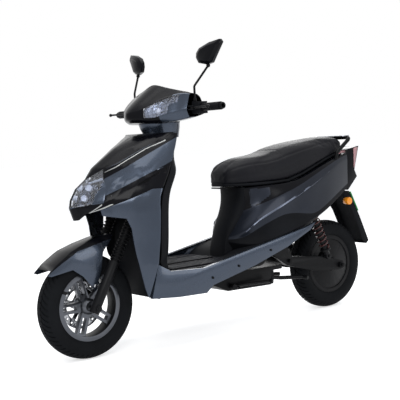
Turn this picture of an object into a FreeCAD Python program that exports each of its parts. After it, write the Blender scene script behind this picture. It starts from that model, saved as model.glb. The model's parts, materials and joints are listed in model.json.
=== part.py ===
"""Moped scooter: a step-through electric scooter with 10-inch wheels.

Millimetres. +X is the rider's left, +Y is rearwards, +Z is up, and the ground is z = 0.
While a piece is being made, its length along the scooter is measured rearwards from the front axle.
Every finished piece is then moved so that the origin is on the ground under the scooter's middle.
"""
import FreeCAD, Part
import math
import os

V = FreeCAD.Vector

# ---------------------------------------------------------------- driving dimensions
WHEELBASE = 1315.0
WHEEL_RADIUS = 207.0
NOSE_TO_ORIGIN = 675.0        # front axle to the middle of the scooter
RIM_SEAT_RADIUS = 127.0       # 10-inch rim
FRONT_TYRE_WIDTH = 82.0
REAR_TYRE_WIDTH = 88.0
TREAD_FLAT = 26.0             # width of the flat band that touches the ground

RAKE = 30.0                   # steering axis, degrees back from upright
STEERING_FOOT = V(0, 40, WHEEL_RADIUS)   # the steering axis at axle height
FORK_HALF_SPREAD = 75.0
FORK_OFFSET = 34.64           # fork legs ahead of the steering axis
FORK_TUBE_RADIUS = 15.0
RUNNING_GAP = 0.05            # radial clearance of a shaft in its bore

BAR_HEIGHT = 855.0            # along the steering axis
BAR_OFFSET = 26.0             # ahead of the steering axis
BAR_RADIUS = 11.0
BAR_HALF_LENGTH = 366.0
POD_INNER = 207.0
POD_OUTER = 249.0
GRIP_RADIUS = 16.0

AXLE_RADIUS = 6.0
REAR_AXLE_RADIUS = 8.0
SWING_PIVOT = V(0, 972, 270)
SHOCK_TOP = V(120, 1095, 560)
SHOCK_FOOT = V(120, 1220, 262)
SEAT_HINGE = V(0, 690, 616)
RAIL_FOOT = V(112, 1300, 672)  # where the grab rail stands on the frame
ARM_X = 95.0                  # middle of each swingarm leg

WALL = 3.0                    # thickness of the plastic panels
DOWN_TUBE_RADIUS = 18.0
RAIL_RADIUS = 13.0
RAIL_X = 148.0

CHARGE_PORT = V(184, 820, 440)       # mouth of the socket, on the right-hand side
CHARGE_RADIUS = 18.0
CHARGE_BORE = 11.0
KEY_X = -70.0           # the ignition lock is on the right-hand side
RACK_BOLT_X = 35.0
RACK_BOLT_Y = 1402.0
RACK_BOLT_HOLE = 3.3

pieces = {}


# ---------------------------------------------------------------- helpers
def cylinder(radius, start, end):
    direction = end.sub(start)
    return Part.makeCylinder(radius, direction.Length, start, direction)


def tube(outer, inner, start, end):
    return cylinder(outer, start, end).cut(cylinder(inner, start, end))


def box(x0, x1, y0, y1, z0, z1):
    return Part.makeBox(x1 - x0, y1 - y0, z1 - z0, V(x0, y0, z0))


def fuse(*shapes):
    whole = shapes[0]
    for shape in shapes[1:]:
        whole = whole.fuse(shape)
    return whole.removeSplitter()


def mirrored(shape):
    return shape.mirror(V(0, 0, 0), V(1, 0, 0))


def pair(shape):
    """A left-hand shape and its right-hand twin, as two solids."""
    return Part.makeCompound([shape, mirrored(shape)])


def slab(outline, x0, x1):
    """An outline of (y, z) points, solid from x0 to x1."""
    wire = Part.makePolygon([V(x0, y, z) for y, z in outline + outline[:1]])
    return Part.Face(wire).extrude(V(x1 - x0, 0, 0))


def front_slab(outline, y0, y1):
    """An outline of (x, z) points, solid from y0 to y1."""
    wire = Part.makePolygon([V(x, y0, z) for x, z in outline + outline[:1]])
    return Part.Face(wire).extrude(V(0, y1 - y0, 0))


def spun(profile, axle_y):
    """A closed (x, radius) profile turned about the axle at axle_y."""
    wire = Part.makePolygon([V(x, 0, radius) for x, radius in profile + profile[:1]])
    solid = Part.Face(wire).revolve(V(0, 0, 0), V(1, 0, 0), 360)
    solid.translate(V(0, axle_y, WHEEL_RADIUS))
    return solid


def bent_tube(points, radius, bend=40.0):
    """A round bar along straight runs that are joined by arcs."""
    edges = []
    start = points[0]
    for here, corner, after in zip(points, points[1:], points[2:]):
        back = here.sub(corner).normalize()
        ahead = after.sub(corner).normalize()
        half_turn = back.getAngle(ahead) / 2
        reach = min(bend / math.tan(half_turn),
                    0.45 * min(here.sub(corner).Length, after.sub(corner).Length))
        first = corner.add(back * reach)
        last = corner.add(ahead * reach)
        middle_line = back.add(ahead).normalize()
        arc_radius = reach * math.tan(half_turn)
        middle = corner.add(middle_line * (arc_radius / math.sin(half_turn) - arc_radius))
        edges += [Part.LineSegment(start, first).toShape(), Part.Arc(first, middle, last).toShape()]
        start = last
    edges.append(Part.LineSegment(start, points[-1]).toShape())
    path = Part.Wire(edges)
    ring = Part.Wire(Part.Circle(points[0], points[1].sub(points[0]), radius).toShape())
    return path.makePipeShell([ring], True, True)


def lofted(wires):
    return Part.makeLoft(wires, True, True)


def on_steering_axis(shape):
    """Lean a shape made round local Z = the steering axis (local +Y is to the rear)."""
    shape.rotate(V(0, 0, 0), V(1, 0, 0), -RAKE)
    shape.translate(STEERING_FOOT)
    return shape


def steering_point(x, behind, height):
    """A point x to the left, behind the steering axis, and height along it."""
    lean = math.radians(RAKE)
    return STEERING_FOOT.add(V(x, behind * math.cos(lean) + height * math.sin(lean),
                               height * math.cos(lean) - behind * math.sin(lean)))


def interpolate(table, value):
    """Straight-line look-up in rows of (value, a, b, ...)."""
    if value <= table[0][0]:
        return table[0][1:]
    for low, high in zip(table, table[1:]):
        if value <= high[0]:
            part = (value - low[0]) / (high[0] - low[0])
            return tuple(a + (b - a) * part for a, b in zip(low[1:], high[1:]))
    return table[-1][1:]


def keep(name, shape):
    """File a finished piece under its name."""
    pieces[name] = shape


# ---------------------------------------------------------------- wheels
def tyre(width, axle_y):
    half = width / 2
    flat = TREAD_FLAT / 2
    profile = [(half - 13, RIM_SEAT_RADIUS), (half - 13, 136.5), (half - 6, 139), (half - 1, 152),
               (half, 168), (half - 5, 186), (half - 15, 199),
               (flat, WHEEL_RADIUS), (-flat, WHEEL_RADIUS), (15 - half, 199), (5 - half, 186),
               (-half, 168),
               (1 - half, 152), (6 - half, 139), (13 - half, 136.5), (13 - half, RIM_SEAT_RADIUS),
               (17 - half, RIM_SEAT_RADIUS), (17 - half, 131), (8 - half, 155), (8 - half, 170),
               (20 - half, 190), (0, 197), (half - 20, 190), (half - 8, 170), (half - 8, 155),
               (half - 17, 131),
               (half - 17, RIM_SEAT_RADIUS)]
    return spun(profile, axle_y)


def rim_barrel(width, axle_y):
    half = width / 2 - 13
    profile = [(-half - 4, 118), (half + 4, 118), (half + 4, 136), (half, 136), (half, RIM_SEAT_RADIUS),
               (-half, RIM_SEAT_RADIUS), (-half, 136), (-half - 4, 136)]
    return spun(profile, axle_y)


def front_wheel():
    axle = V(0, 0, WHEEL_RADIUS)
    hub = spun([(-38, AXLE_RADIUS + RUNNING_GAP), (38, AXLE_RADIUS + RUNNING_GAP), (38, 22), (26, 32),
                (-26, 32), (-38, 32)], 0)
    spoke = box(-11, 11, -20, 20, 28, 121)
    window = box(-12, 12, -9, 9, 48, 108)
    spoke = spoke.cut(window)
    wheel = rim_barrel(FRONT_TYRE_WIDTH, 0).fuse(hub)
    for index in range(5):
        arm = spoke.copy()
        arm.translate(axle)
        arm.rotate(axle, V(1, 0, 0), 72 * index + 18)
        wheel = wheel.fuse(arm)
    wheel = wheel.cut(cylinder(AXLE_RADIUS + RUNNING_GAP, V(-60, 0, WHEEL_RADIUS),
                               V(60, 0, WHEEL_RADIUS)))
    keep("front_rim", wheel.removeSplitter())
    keep("front_tyre", tyre(FRONT_TYRE_WIDTH, 0))
    disc = spun([(-42, 66), (-38, 66), (-38, 95), (-42, 95)], 0)
    disc = disc.fuse(spun([(-42, 18), (-38, 18), (-38, 36), (-42, 36)], 0))
    for index in range(5):
        arm = box(-42, -38, -8, 8, 33, 69)
        arm.translate(axle)
        arm.rotate(axle, V(1, 0, 0), 72 * index)
        disc = disc.fuse(arm)
    for index in range(20):
        angle = math.radians(18 * index)
        place = V(-50, 80 * math.cos(angle), WHEEL_RADIUS + 80 * math.sin(angle))
        disc = disc.cut(cylinder(4, place, place.add(V(20, 0, 0))))
    keep("brake_disc", disc.removeSplitter())


def rear_wheel():
    keep("rear_tyre", tyre(REAR_TYRE_WIDTH, WHEELBASE))
    motor = spun([(-56, REAR_AXLE_RADIUS + RUNNING_GAP), (56, REAR_AXLE_RADIUS + RUNNING_GAP), (56, 26),
                  (46, 34),
                  (42, 96), (30, 120), (-30, 120), (-42, 96), (-46, 34), (-56, 26)], WHEELBASE)
    motor = motor.fuse(rim_barrel(REAR_TYRE_WIDTH, WHEELBASE))
    keep("hub_motor", motor.removeSplitter())


# ---------------------------------------------------------------- front fork
def fork():
    leg_y = -FORK_OFFSET
    axle_height = -20.0
    sliders = []
    uppers = []
    springs = []
    for x in (FORK_HALF_SPREAD, -FORK_HALF_SPREAD):
        slider = cylinder(20, V(x, leg_y, axle_height - 22), V(x, leg_y, 175))
        slider = slider.cut(cylinder(FORK_TUBE_RADIUS + RUNNING_GAP, V(x, leg_y, 0), V(x, leg_y, 176)))
        slider = slider.cut(cylinder(AXLE_RADIUS, V(x - 30, leg_y, axle_height),
                                     V(x + 30, leg_y, axle_height)))
        sliders.append(slider)
        uppers.append(tube(FORK_TUBE_RADIUS, 12, V(x, leg_y, 60), V(x, leg_y, 470)))
        springs.append(tube(22, 16.5, V(x, leg_y, 176), V(x, leg_y, 440)))
    lug = box(-72, -60, 0, 26, 18, 62)
    lug.translate(V(0, leg_y + 10, 0))
    sliders[1] = sliders[1].fuse(lug.cut(cylinder(20, V(-75, leg_y, 0), V(-75, leg_y, 175))))
    axle = cylinder(AXLE_RADIUS, V(-104, leg_y, axle_height), V(104, leg_y, axle_height))
    nut = tube(12, AXLE_RADIUS, V(95, leg_y, axle_height), V(103, leg_y, axle_height))
    sliders += [axle, nut, mirrored(nut)]
    keep("fork_sliders", on_steering_axis(Part.makeCompound(sliders)))
    keep("fork_springs", on_steering_axis(Part.makeCompound(springs)))
    caliper = box(-59.5, -33, leg_y + 36, leg_y + 78, 12, 72)
    caliper = caliper.cut(cylinder(98, V(-44.5, leg_y, axle_height), V(-35.5, leg_y, axle_height)))
    keep("brake_caliper", on_steering_axis(caliper))

    crown = fuse(cylinder(30, V(0, 0, 441), V(0, 0, 471)),
                 cylinder(26, V(FORK_HALF_SPREAD, leg_y, 441), V(FORK_HALF_SPREAD, leg_y, 471)),
                 cylinder(26, V(-FORK_HALF_SPREAD, leg_y, 441), V(-FORK_HALF_SPREAD, leg_y, 471)),
                 box(-FORK_HALF_SPREAD, FORK_HALF_SPREAD, leg_y - 20, 12, 443, 469))
    for x in (FORK_HALF_SPREAD, -FORK_HALF_SPREAD):
        crown = crown.cut(cylinder(FORK_TUBE_RADIUS, V(x, leg_y, 440), V(x, leg_y, 470)))
    stem = crown.fuse(cylinder(14, V(0, 0, 470), V(0, 0, 838)))
    stem = stem.cut(cylinder(10, V(0, 0, 480), V(0, 0, 840)))
    keep("steering_stem", on_steering_axis(Part.makeCompound([stem.removeSplitter()] + uppers)))


def front_fender():
    """Crown strip over the tyre, with a cheek down each side to the fork."""
    outer = [(-189, 356), (-152, 389), (-82, 434), (-20, 456), (41, 472), (100, 484), (122, 480),
             (110, 462),
             (60, 420), (46, 348), (16, 268), (-36, 333), (-79, 364), (-173, 350)]
    solid = slab(outer, -58, 58)
    trim = [(-58, 330), (-58, 420), (-26, 500), (26, 500), (58, 420), (58, 200), (-58, 200)]
    solid = solid.common(front_slab(trim, -300, 300))
    inner = slab([(-230, 340), (-150, 383), (-80, 428), (-18, 450), (43, 466), (108, 477), (70, 440),
                  (80, 300),
                  (20, 240), (-240, 240)], -55, 55)
    inner_trim = [(-55, 330), (-55, 419), (-25, 495), (25, 495), (55, 419), (55, 200), (-55, 200)]
    shell = solid.cut(inner.common(front_slab(inner_trim, -300, 300)))
    keep("front_fender", shell)


# ---------------------------------------------------------------- frame
def frame():
    head = tube(27, 20, V(0, 0, 495), V(0, 0, 705))
    races = [tube(20, 14 + RUNNING_GAP, V(0, 0, low), V(0, 0, low + 12)) for low in (496, 692)]
    head = on_steering_axis(head)
    races = [on_steering_axis(race) for race in races]
    down = bent_tube([V(0, 322, 700), V(0, 323, 600), V(0, 308, 440), V(0, 300, 285)], DOWN_TUBE_RADIUS,
                     200)
    inside_head = on_steering_axis(cylinder(26.9, V(0, 0, 480), V(0, 0, 720)))
    gusset = slab([(318, 712), (345, 712), (338, 640), (318, 620)], -5, 5)
    bored = fuse(down.cut(inside_head), head, gusset.cut(inside_head))
    keep("frame_front", Part.makeCompound([bored] + races))

    level = 285.0
    cross = cylinder(RAIL_RADIUS, V(-RAIL_X, 365, level), V(RAIL_X, 365, level))
    link = cylinder(RAIL_RADIUS, V(0, 301, level + 6), V(0, 365, level + 6))
    rails = [cylinder(RAIL_RADIUS, V(side * RAIL_X, 344, level),
                      V(side * RAIL_X, 740, level)) for side in (1, -1)]
    floor = fuse(cross, link.cut(down), *rails)
    keep("frame_floor", floor)

    rail = bent_tube([V(RAIL_X, 740, level), V(RAIL_X, 800, level), V(140, 880, 420), V(120, 960, 575),
                      V(112, 1110, 605), V(80, 1388, 688)], RAIL_RADIUS - 2, 60)
    mount = fuse(slab([(1080, 548), (1110, 548), (1112, 612), (1078, 606)], 100, 108),
                 cylinder(6, V(100, SHOCK_TOP.y, SHOCK_TOP.z), V(133, SHOCK_TOP.y, SHOCK_TOP.z)))
    hanger = slab([(845, 330), (868, 420), (905, 430), (990, 285), (990, 252), (955, 252)], 113, 131)
    rear = fuse(rail, mirrored(rail), mount, mirrored(mount), hanger, mirrored(hanger),
                cylinder(10, V(-139, 872, 402), V(139, 872, 402)),
                cylinder(9, V(-122, RAIL_FOOT.y, RAIL_FOOT.z), V(122, RAIL_FOOT.y, RAIL_FOOT.z)))
    bolt_hole = cylinder(REAR_AXLE_RADIUS, V(-140, SWING_PIVOT.y, SWING_PIVOT.z),
                         V(140, SWING_PIVOT.y, SWING_PIVOT.z))
    seat_leaf = fuse(box(-40, 40, SEAT_HINGE.y, 810, SEAT_HINGE.z - 3.4, SEAT_HINGE.z - 0.8),
                     cylinder(3.4, SEAT_HINGE.add(V(-40, 0, 0)), SEAT_HINGE.add(V(40, 0, 0))))
    keep("frame_rear", Part.makeCompound([rear.cut(bolt_hole), bolt_hole, seat_leaf]))


# ---------------------------------------------------------------- front fairing
# height, nose, half width, rear corner
FAIRING = [(200, 60, 200, 190), (362, 20, 212, 214), (455, 0, 214, 227), (560, -34, 215, 236),
           (595, -46, 215, 236),
           (625, -40, 215, 240), (667, -14, 212, 262), (703, 34, 208, 285), (745, 68, 205, 305),
           (815, 172, 196, 338),
           (850, 238, 190, 352), (870, 300, 186, 356)]
FAIRING_BLUNTNESS = 1.35


def fairing_section(z, inset):
    nose, half_width, corner = interpolate(FAIRING, z)
    nose += 1.5 * inset
    half_width -= inset
    depth = corner - nose
    quarter = []
    for step in range(9):
        turn = math.radians(11.25 * step)
        quarter.append(V(half_width * math.sin(turn) ** (2 / FAIRING_BLUNTNESS),
                         corner - depth * math.cos(turn) ** (2 / FAIRING_BLUNTNESS), z))
    rear = 60.0 if inset else 0.0
    left = Part.BSplineCurve()
    left.interpolate(quarter)
    right = Part.BSplineCurve()
    right.interpolate([V(-p.x, p.y, p.z) for p in reversed(quarter)])
    corner_left = quarter[-1]
    corner_right = V(-corner_left.x, corner_left.y, z)
    edges = [right.toShape(), left.toShape()]
    if rear:
        back_left = corner_left.add(V(0, rear, 0))
        back_right = corner_right.add(V(0, rear, 0))
        edges += [Part.LineSegment(corner_left, back_left).toShape(),
                  Part.LineSegment(back_left, back_right).toShape(),
                  Part.LineSegment(back_right, corner_right).toShape()]
    else:
        edges.append(Part.LineSegment(corner_left, corner_right).toShape())
    return Part.Wire(edges)


def fairing_shell():
    levels = [row[0] for row in FAIRING]
    outer = lofted([fairing_section(z, 0) for z in levels])
    inner = lofted([fairing_section(z, WALL) for z in [levels[0] - 1] + levels[1:-1] + [levels[-1] + 1]])
    return outer.cut(inner)


def neck_well():
    """The round space in which the neck cover turns."""
    return on_steering_axis(cylinder(98, V(0, 0, 690), V(0, 0, 900)))


def front_panels():
    shell = fairing_shell().cut(neck_well())
    upper_line = [(90, 742), (345, 866)]
    lower_line = [(250, 713), (400, 787)]
    lamp = [(-60, 597), (45, 611), (90, 742), (30, 700), (-60, 700)]
    rib = slab(lamp, -4, 4)
    top = slab([(-60, 700), (30, 700)] + upper_line + [(400, 890), (-60, 890)], -250, 250)
    keep("front_apron", shell.common(fuse(top, rib)))
    side = slab([(45, 611), (90, 742)] + upper_line[1:] + [(400, 866)] + lower_line[::-1], -250, 250)
    chin = slab([(-60, 540), (-60, 597), (45, 611)] + lower_line + [(400, 655), (215, 655), (-4, 572),
                                                                    (-20, 548)], -250, 250)
    keep("apron_sides", Part.makeCompound([shell.common(side), shell.common(chin)]))
    keep("apron_lamps", pair(shell.common(slab(lamp, 4, 150))))
    shield = slab([(-4, 571), (115, 546), (130, 506), (141, 407), (165, 264), (174, 231), (213, 360),
                   (400, 360),
                   (400, 654), (215, 654)], 100, 250)
    keep("leg_shields", pair(shell.common(shield)))


# height, rear-most point, half width, side edge
KNEE_PANEL = [(320, 328, 181, 266), (361, 330, 183, 236), (380, 333, 206, 232), (455, 342, 208, 236),
              (594, 348, 207, 246), (650, 366, 206, 262),
              (709, 410, 200, 300), (770, 435, 194, 322), (836, 448, 188, 346)]


def knee_section(z, inset):
    rear, half_width, edge = interpolate(KNEE_PANEL, z)
    rear -= inset
    half_width -= inset
    depth = rear - edge
    curve = Part.BSplineCurve()
    points = [V(half_width * math.sin(math.radians(a)), edge + depth * math.cos(math.radians(a)), z)
              for a in range(-90, 91, 15)]
    curve.interpolate(points)
    front = edge - (30.0 if inset else 0.0)
    closing = Part.makePolygon([points[-1], V(half_width, front, z), V(-half_width, front, z),
                                points[0]]) \
        if inset else Part.makePolygon([points[-1], points[0]])
    return Part.Wire([curve.toShape()] + closing.Edges)


def knee_panel():
    levels = [row[0] for row in KNEE_PANEL]
    outer = lofted([knee_section(z, 0) for z in levels])
    inner = lofted([knee_section(z, WALL) for z in [levels[0] - 1] + levels[1:-1] + [levels[-1] + 1]])
    panel = outer.cut(inner).cut(neck_well())
    key_hole = cylinder(13, V(KEY_X, 300, 690), V(KEY_X, 460, 690))
    keep("inner_leg_shield", panel.cut(key_hole))
    barrel = tube(13, 6, V(KEY_X, 372, 690), V(KEY_X, 420, 690))
    barrel = barrel.common(box(KEY_X - 30, KEY_X + 30, 360, 408, 660, 720))
    return barrel


def wheel_liner():
    outline = [(236, 215), (246, 330), (258, 480), (292, 560), (296, 560), (262, 478), (250, 330),
               (240, 215)]
    keep("wheel_well_liner", slab(outline, -168, 168))


# ---------------------------------------------------------------- floor and middle
def floor_parts():
    board = box(-183, 183, 264, 655, 300, 318).cut(box(-180, 180, 267, 652, 299, 314))
    board = board.cut(cylinder(24, V(0, 301, 290), V(0, 301, 330)))
    keep("floor_board", board)
    top = [(218, 357), (277, 324), (441, 315), (576, 340), (789, 379), (1016, 421), (1072, 437)]
    bottom = [(1039, 407), (903, 349), (711, 291), (482, 239), (447, 212), (306, 216), (180, 228)]
    skirt = slab(top + bottom, 186, 204)
    hollow_top = [(222, 352), (279, 321), (441, 312), (576, 337), (789, 376), (1015, 418), (1060, 430)]
    hollow_bottom = [(1037, 410), (903, 353), (711, 295), (481, 243), (446, 216), (306, 220), (184, 231)]
    keep("side_skirts", pair(skirt.cut(slab(hollow_top + hollow_bottom, 180, 201))))
    outline = [(535, 224), (535, 262), (925, 262), (925, 243), (856, 243), (859, 181), (615, 187)]
    inside = [(539, 227), (539, 258), (921, 258), (921, 247), (852, 247), (855, 185), (616, 191)]
    keep("battery_box", slab(outline, -130, 130).cut(slab(inside, -127, 127)))
    keep("battery_and_controller", Part.makeCompound([box(-118, 118, 625, 835, 192, 256),
                                                      box(-60, 60, 545, 615, 230, 256)]))


# height, front, half width
SEAT_FRONT = [(320, 642, 150), (382, 643, 150), (471, 666, 128), (549, 720, 114), (612, 712, 112)]


def seat_front():
    def section(z, inset):
        front, half_width = interpolate(SEAT_FRONT, z)
        back = front + 90 + (30 if inset else 0)
        front += inset
        half_width -= inset
        side = front + 90 - inset
        points = [V(half_width * math.sin(math.radians(a)),
                    side - (side - front) * math.cos(math.radians(a)), z)
                  for a in range(-90, 91, 15)]
        curve = Part.BSplineCurve()
        curve.interpolate(points)
        if inset:
            closing = Part.makePolygon([points[-1], V(half_width, back, z), V(-half_width, back, z),
                                        points[0]])
        else:
            closing = Part.makePolygon([points[-1], points[0]])
        return Part.Wire([curve.toShape()] + closing.Edges)

    levels = [row[0] for row in SEAT_FRONT]
    outer = lofted([section(z, 0) for z in levels])
    inner = lofted([section(z, WALL) for z in [levels[0] - 1] + levels[1:-1] + [levels[-1] + 1]])
    keep("seat_front_panel", outer.cut(inner))


# place along the scooter, then three (x, z) points: lower edge, widest, upper edge
TAIL_SIDES = [(598, 153, 356, 154, 430, 150, 470), (735, 160, 366, 160, 470, 128, 608),
              (850, 192, 398, 186, 500, 142, 612), (1000, 192, 428, 190, 540, 150, 616),
              (1150, 172, 470, 180, 575, 150, 664), (1290, 132, 516, 146, 612, 132, 704),
              (1390, 96, 552, 116, 640, 104, 728)]


def tail_sides():
    def section(y, inset):
        low_x, low_z, mid_x, mid_z, top_x, top_z = interpolate(TAIL_SIDES, y)
        reach = 12 if inset else 0
        outside = [V(low_x - inset, y, low_z - reach), V(mid_x - inset, y, mid_z),
                   V(top_x - inset, y, top_z + reach)]
        middle = [V(40, y, top_z + reach), V(40, y, low_z - reach)]
        return Part.makePolygon(outside + middle + outside[:1])

    stations = [row[0] for row in TAIL_SIDES]
    outer = lofted([section(y, 0) for y in stations])
    inner = lofted([section(y, WALL) for y in [stations[0] - 1] + stations[1:-1] + [stations[-1] + 1]])
    skin = outer.cut(inner).cut(box(0, 60, 560, 1500, 300, 800))
    skin = skin.cut(slab([(560, 402), (612, 402), (746, 537), (713, 625), (713, 700), (560, 700)], 40,
                         220))
    socket_hole = cylinder(CHARGE_RADIUS, V(100, CHARGE_PORT.y, CHARGE_PORT.z),
                           V(220, CHARGE_PORT.y, CHARGE_PORT.z))
    keep("side_covers", Part.makeCompound([skin, mirrored(skin.cut(socket_hole))]))


def storage_bin():
    outer = slab([(792, 470), (792, 606), (1060, 606), (1060, 470), (1010, 440), (820, 440)], -98, 98)
    inner = slab([(795, 472), (795, 610), (1057, 610), (1057, 472), (1009, 443), (821, 443)], -95, 95)
    keep("storage_bin", outer.cut(inner))


def tail_parts():
    outline = [(1404, 742), (1495, 757), (1461, 644), (1476, 612), (1412, 551), (1404, 553)]
    inside = [(1400, 738), (1489, 752), (1456, 644), (1470, 613), (1411, 556), (1400, 558)]
    shell = slab(outline, -84, 84).cut(slab(inside, -81, 81))
    lamp = slab([(1494, 750), (1480, 750), (1448, 652), (1462, 652)], -62, 62)
    keep("tail_cover", shell.cut(lamp))
    keep("tail_lamp", lamp)
    left = [RAIL_FOOT, V(112, 1320, 735), V(100, 1425, 800)]
    right = [V(-point.x, point.y, point.z) for point in reversed(left)]
    rail = bent_tube(left + right, 9, 30)
    keep("grab_rail", rail.cut(cylinder(9, V(-122, RAIL_FOOT.y, RAIL_FOOT.z),
                                        V(122, RAIL_FOOT.y, RAIL_FOOT.z))))
    rack = box(-84, 84, 1388, 1434, 806, 811)
    for x in (-RACK_BOLT_X, RACK_BOLT_X):
        for y in (RACK_BOLT_Y - 8, RACK_BOLT_Y + 8):
            rack = rack.cut(cylinder(RACK_BOLT_HOLE, V(x, y, 800), V(x, y, 830)))
    keep("rack_plate", rack.cut(rail))
    guard_outer = [(1400, 548), (1434, 545), (1500, 420), (1556, 294), (1540, 280), (1512, 300),
                   (1488, 370), (1450, 450),
                   (1396, 520)]
    guard_inner = [(1380, 540), (1430, 539), (1496, 418), (1550, 292), (1500, 250), (1430, 380),
                   (1380, 480)]
    guard = slab(guard_outer, -66, 66).cut(slab(guard_inner, -63, 63))
    keep("rear_mudguard", guard)
    plate = slab([(1441, 540), (1444, 541), (1491, 446), (1488, 444)], -70, 70)
    indicator = fuse(cylinder(17, V(72, 1402, 500), V(100, 1402, 500)),
                     cylinder(6, V(66, 1402, 500), V(73, 1402, 500)))
    keep("plate_and_indicators", Part.makeCompound([plate, indicator, mirrored(indicator)]))


# ---------------------------------------------------------------- seat
# place, half width, bottom, top
SEAT = [(668, 52, 622, 650), (690, 80, 622, 690), (737, 104, 618, 722), (800, 122, 618, 739),
        (884, 132, 618, 738),
        (993, 138, 620, 764), (1080, 140, 645, 780), (1152, 132, 668, 790), (1260, 110, 700, 800),
        (1352, 96, 722, 807),
        (1400, 76, 738, 792)]
SEAT_PAN = 10.0


def seat():
    def section(y, low, high, half):
        edge = min(24.0, (high - low) * 0.4)
        points = [(-half + 6, low), (half - 6, low), (half, low + edge / 2), (half - 2, high - edge),
                  (half - edge - 8, high - 4),
                  (0, high), (edge + 8 - half, high - 4), (2 - half, high - edge),
                  (-half, low + edge / 2)]
        return Part.makePolygon([V(x, y, z) for x, z in points + points[:1]])

    keep("seat_cushion", lofted([section(y, low + SEAT_PAN, high, half) for y, half, low, high in SEAT]))
    pan = lofted([Part.makePolygon([V(half - 8, y, low), V(half - 8, y, low + SEAT_PAN),
                                    V(8 - half, y, low + SEAT_PAN),
                                    V(8 - half, y, low), V(half - 8, y, low)]) for y, half, low,
                  high in SEAT])
    keep("seat_base", pan)


# ---------------------------------------------------------------- handlebar
def bar_point(x):
    return steering_point(x, -BAR_OFFSET, BAR_HEIGHT)


def handlebar():
    ends = [tube(13, 8, bar_point(side * (BAR_HALF_LENGTH - 1)),
                 bar_point(side * (BAR_HALF_LENGTH + 10))) for side in (1, -1)]
    bar = tube(BAR_RADIUS, 8, bar_point(-BAR_HALF_LENGTH), bar_point(BAR_HALF_LENGTH))
    clamp = on_steering_axis(cylinder(20, V(0, 0, 812),
                                      V(0, 0, 842)).fuse(box(-18, 18, -BAR_OFFSET - 14, 0, 820, 872)))
    stem_hole = on_steering_axis(cylinder(14, V(0, 0, 800), V(0, 0, 838)))
    bar_hole = cylinder(8, bar_point(-40), bar_point(40))
    keep("handlebar", fuse(bar, clamp, *ends).cut(stem_hole).cut(bar_hole))
    left = tube(GRIP_RADIUS, BAR_RADIUS, bar_point(252), bar_point(BAR_HALF_LENGTH - 2))
    keep("left_grip", left)
    right = tube(GRIP_RADIUS, BAR_RADIUS + RUNNING_GAP, bar_point(-252), bar_point(2 - BAR_HALF_LENGTH))
    keep("throttle_grip", right)


LEVER_PIVOT = V(230, 408, bar_point(0).z)
LEVER_TIP = V(352, 388, bar_point(0).z)
SWITCH_TRAVEL = 4.0


def controls():
    """Housings beside the grips, with the lever's forked perch and the switches' pockets."""
    centre = bar_point(0)
    pod = box(POD_INNER, POD_OUTER, centre.y - 24, centre.y + 22, centre.z - 24, centre.z + 24)
    perch = box(216, 244, LEVER_PIVOT.y - 13, centre.y - 20, centre.z - 9, centre.z + 9)
    slot = box(214, 260, LEVER_PIVOT.y - 14, LEVER_PIVOT.y + 13.5, centre.z - 4.5, centre.z + 4.5)
    pin = cylinder(4, LEVER_PIVOT.add(V(0, 0, -9)), LEVER_PIVOT.add(V(0, 0, 9)))
    pod = fuse(pod, perch).cut(slot).fuse(pin).cut(cylinder(BAR_RADIUS, bar_point(200), bar_point(260)))
    pod = pod.removeSplitter()
    left = pod.copy()
    buttons = {"horn_button": (centre.z - 15, 5, 0), "turn_switch": (centre.z, 6, SWITCH_TRAVEL),
               "light_switch": (centre.z + 15, 4, 0)}
    for name, (height, radius, sideways) in buttons.items():
        place = V(228, centre.y + 12, height)
        room = radius + 0.4
        pocket = box(228 - room - sideways, 228 + room + sideways, place.y, place.y + 11, height - room,
                     height + room)
        left = left.cut(pocket)
        keep(name, cylinder(radius, place.add(V(0, 4, 0)), place.add(V(0, 14, 0))))
    keep("control_pods", Part.makeCompound([left, mirrored(pod)]))

    along = LEVER_TIP.sub(LEVER_PIVOT)
    lever = fuse(cylinder(9, LEVER_PIVOT.add(V(0, 0, -4.2)), LEVER_PIVOT.add(V(0, 0, 4.2))),
                 cylinder(4, LEVER_PIVOT, LEVER_PIVOT.add(along)), Part.makeSphere(7, LEVER_TIP))
    lever = lever.cut(cylinder(4 + RUNNING_GAP, LEVER_PIVOT.add(V(0, 0, -10)),
                               LEVER_PIVOT.add(V(0, 0, 10))))
    keep("left_brake_lever", lever)
    keep("right_brake_lever", mirrored(lever))


MIRROR_FOOT = V(216, 432, 985)
MIRROR_BEND = V(216, 432, 1046)
MIRROR_BALL = V(252, 480, 1124)
MIRROR_BALL_RADIUS = 8.0
MIRROR_TOE = 13.0


def mirrors():
    arm = fuse(bent_tube([MIRROR_FOOT, MIRROR_BEND, MIRROR_BALL], 4.5, 12),
               cylinder(7, MIRROR_FOOT, MIRROR_FOOT.add(V(0, 0, 12))),
               Part.makeSphere(MIRROR_BALL_RADIUS, MIRROR_BALL))
    keep("mirror_arms", pair(arm))
    outline = [(-62, -10), (-50, -32), (-8, -42), (18, -36), (44, 2), (70, 40), (62, 52), (8, 44),
               (-44, 26), (-60, 8)]
    head = lofted([Part.makePolygon([V(x * scale, y, z * scale) for x, z in outline + outline[:1]])
                   for scale, y in ((0.7, -16), (1.0, -4), (1.0, 12))])
    head.translate(V(4, 0, 46))
    head.rotate(V(0, 0, 0), V(0, 0, 1), MIRROR_TOE)
    head.translate(MIRROR_BALL)
    head = head.cut(Part.makeSphere(MIRROR_BALL_RADIUS + RUNNING_GAP, MIRROR_BALL))
    keep("left_mirror", head)
    keep("right_mirror", mirrored(head))


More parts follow.
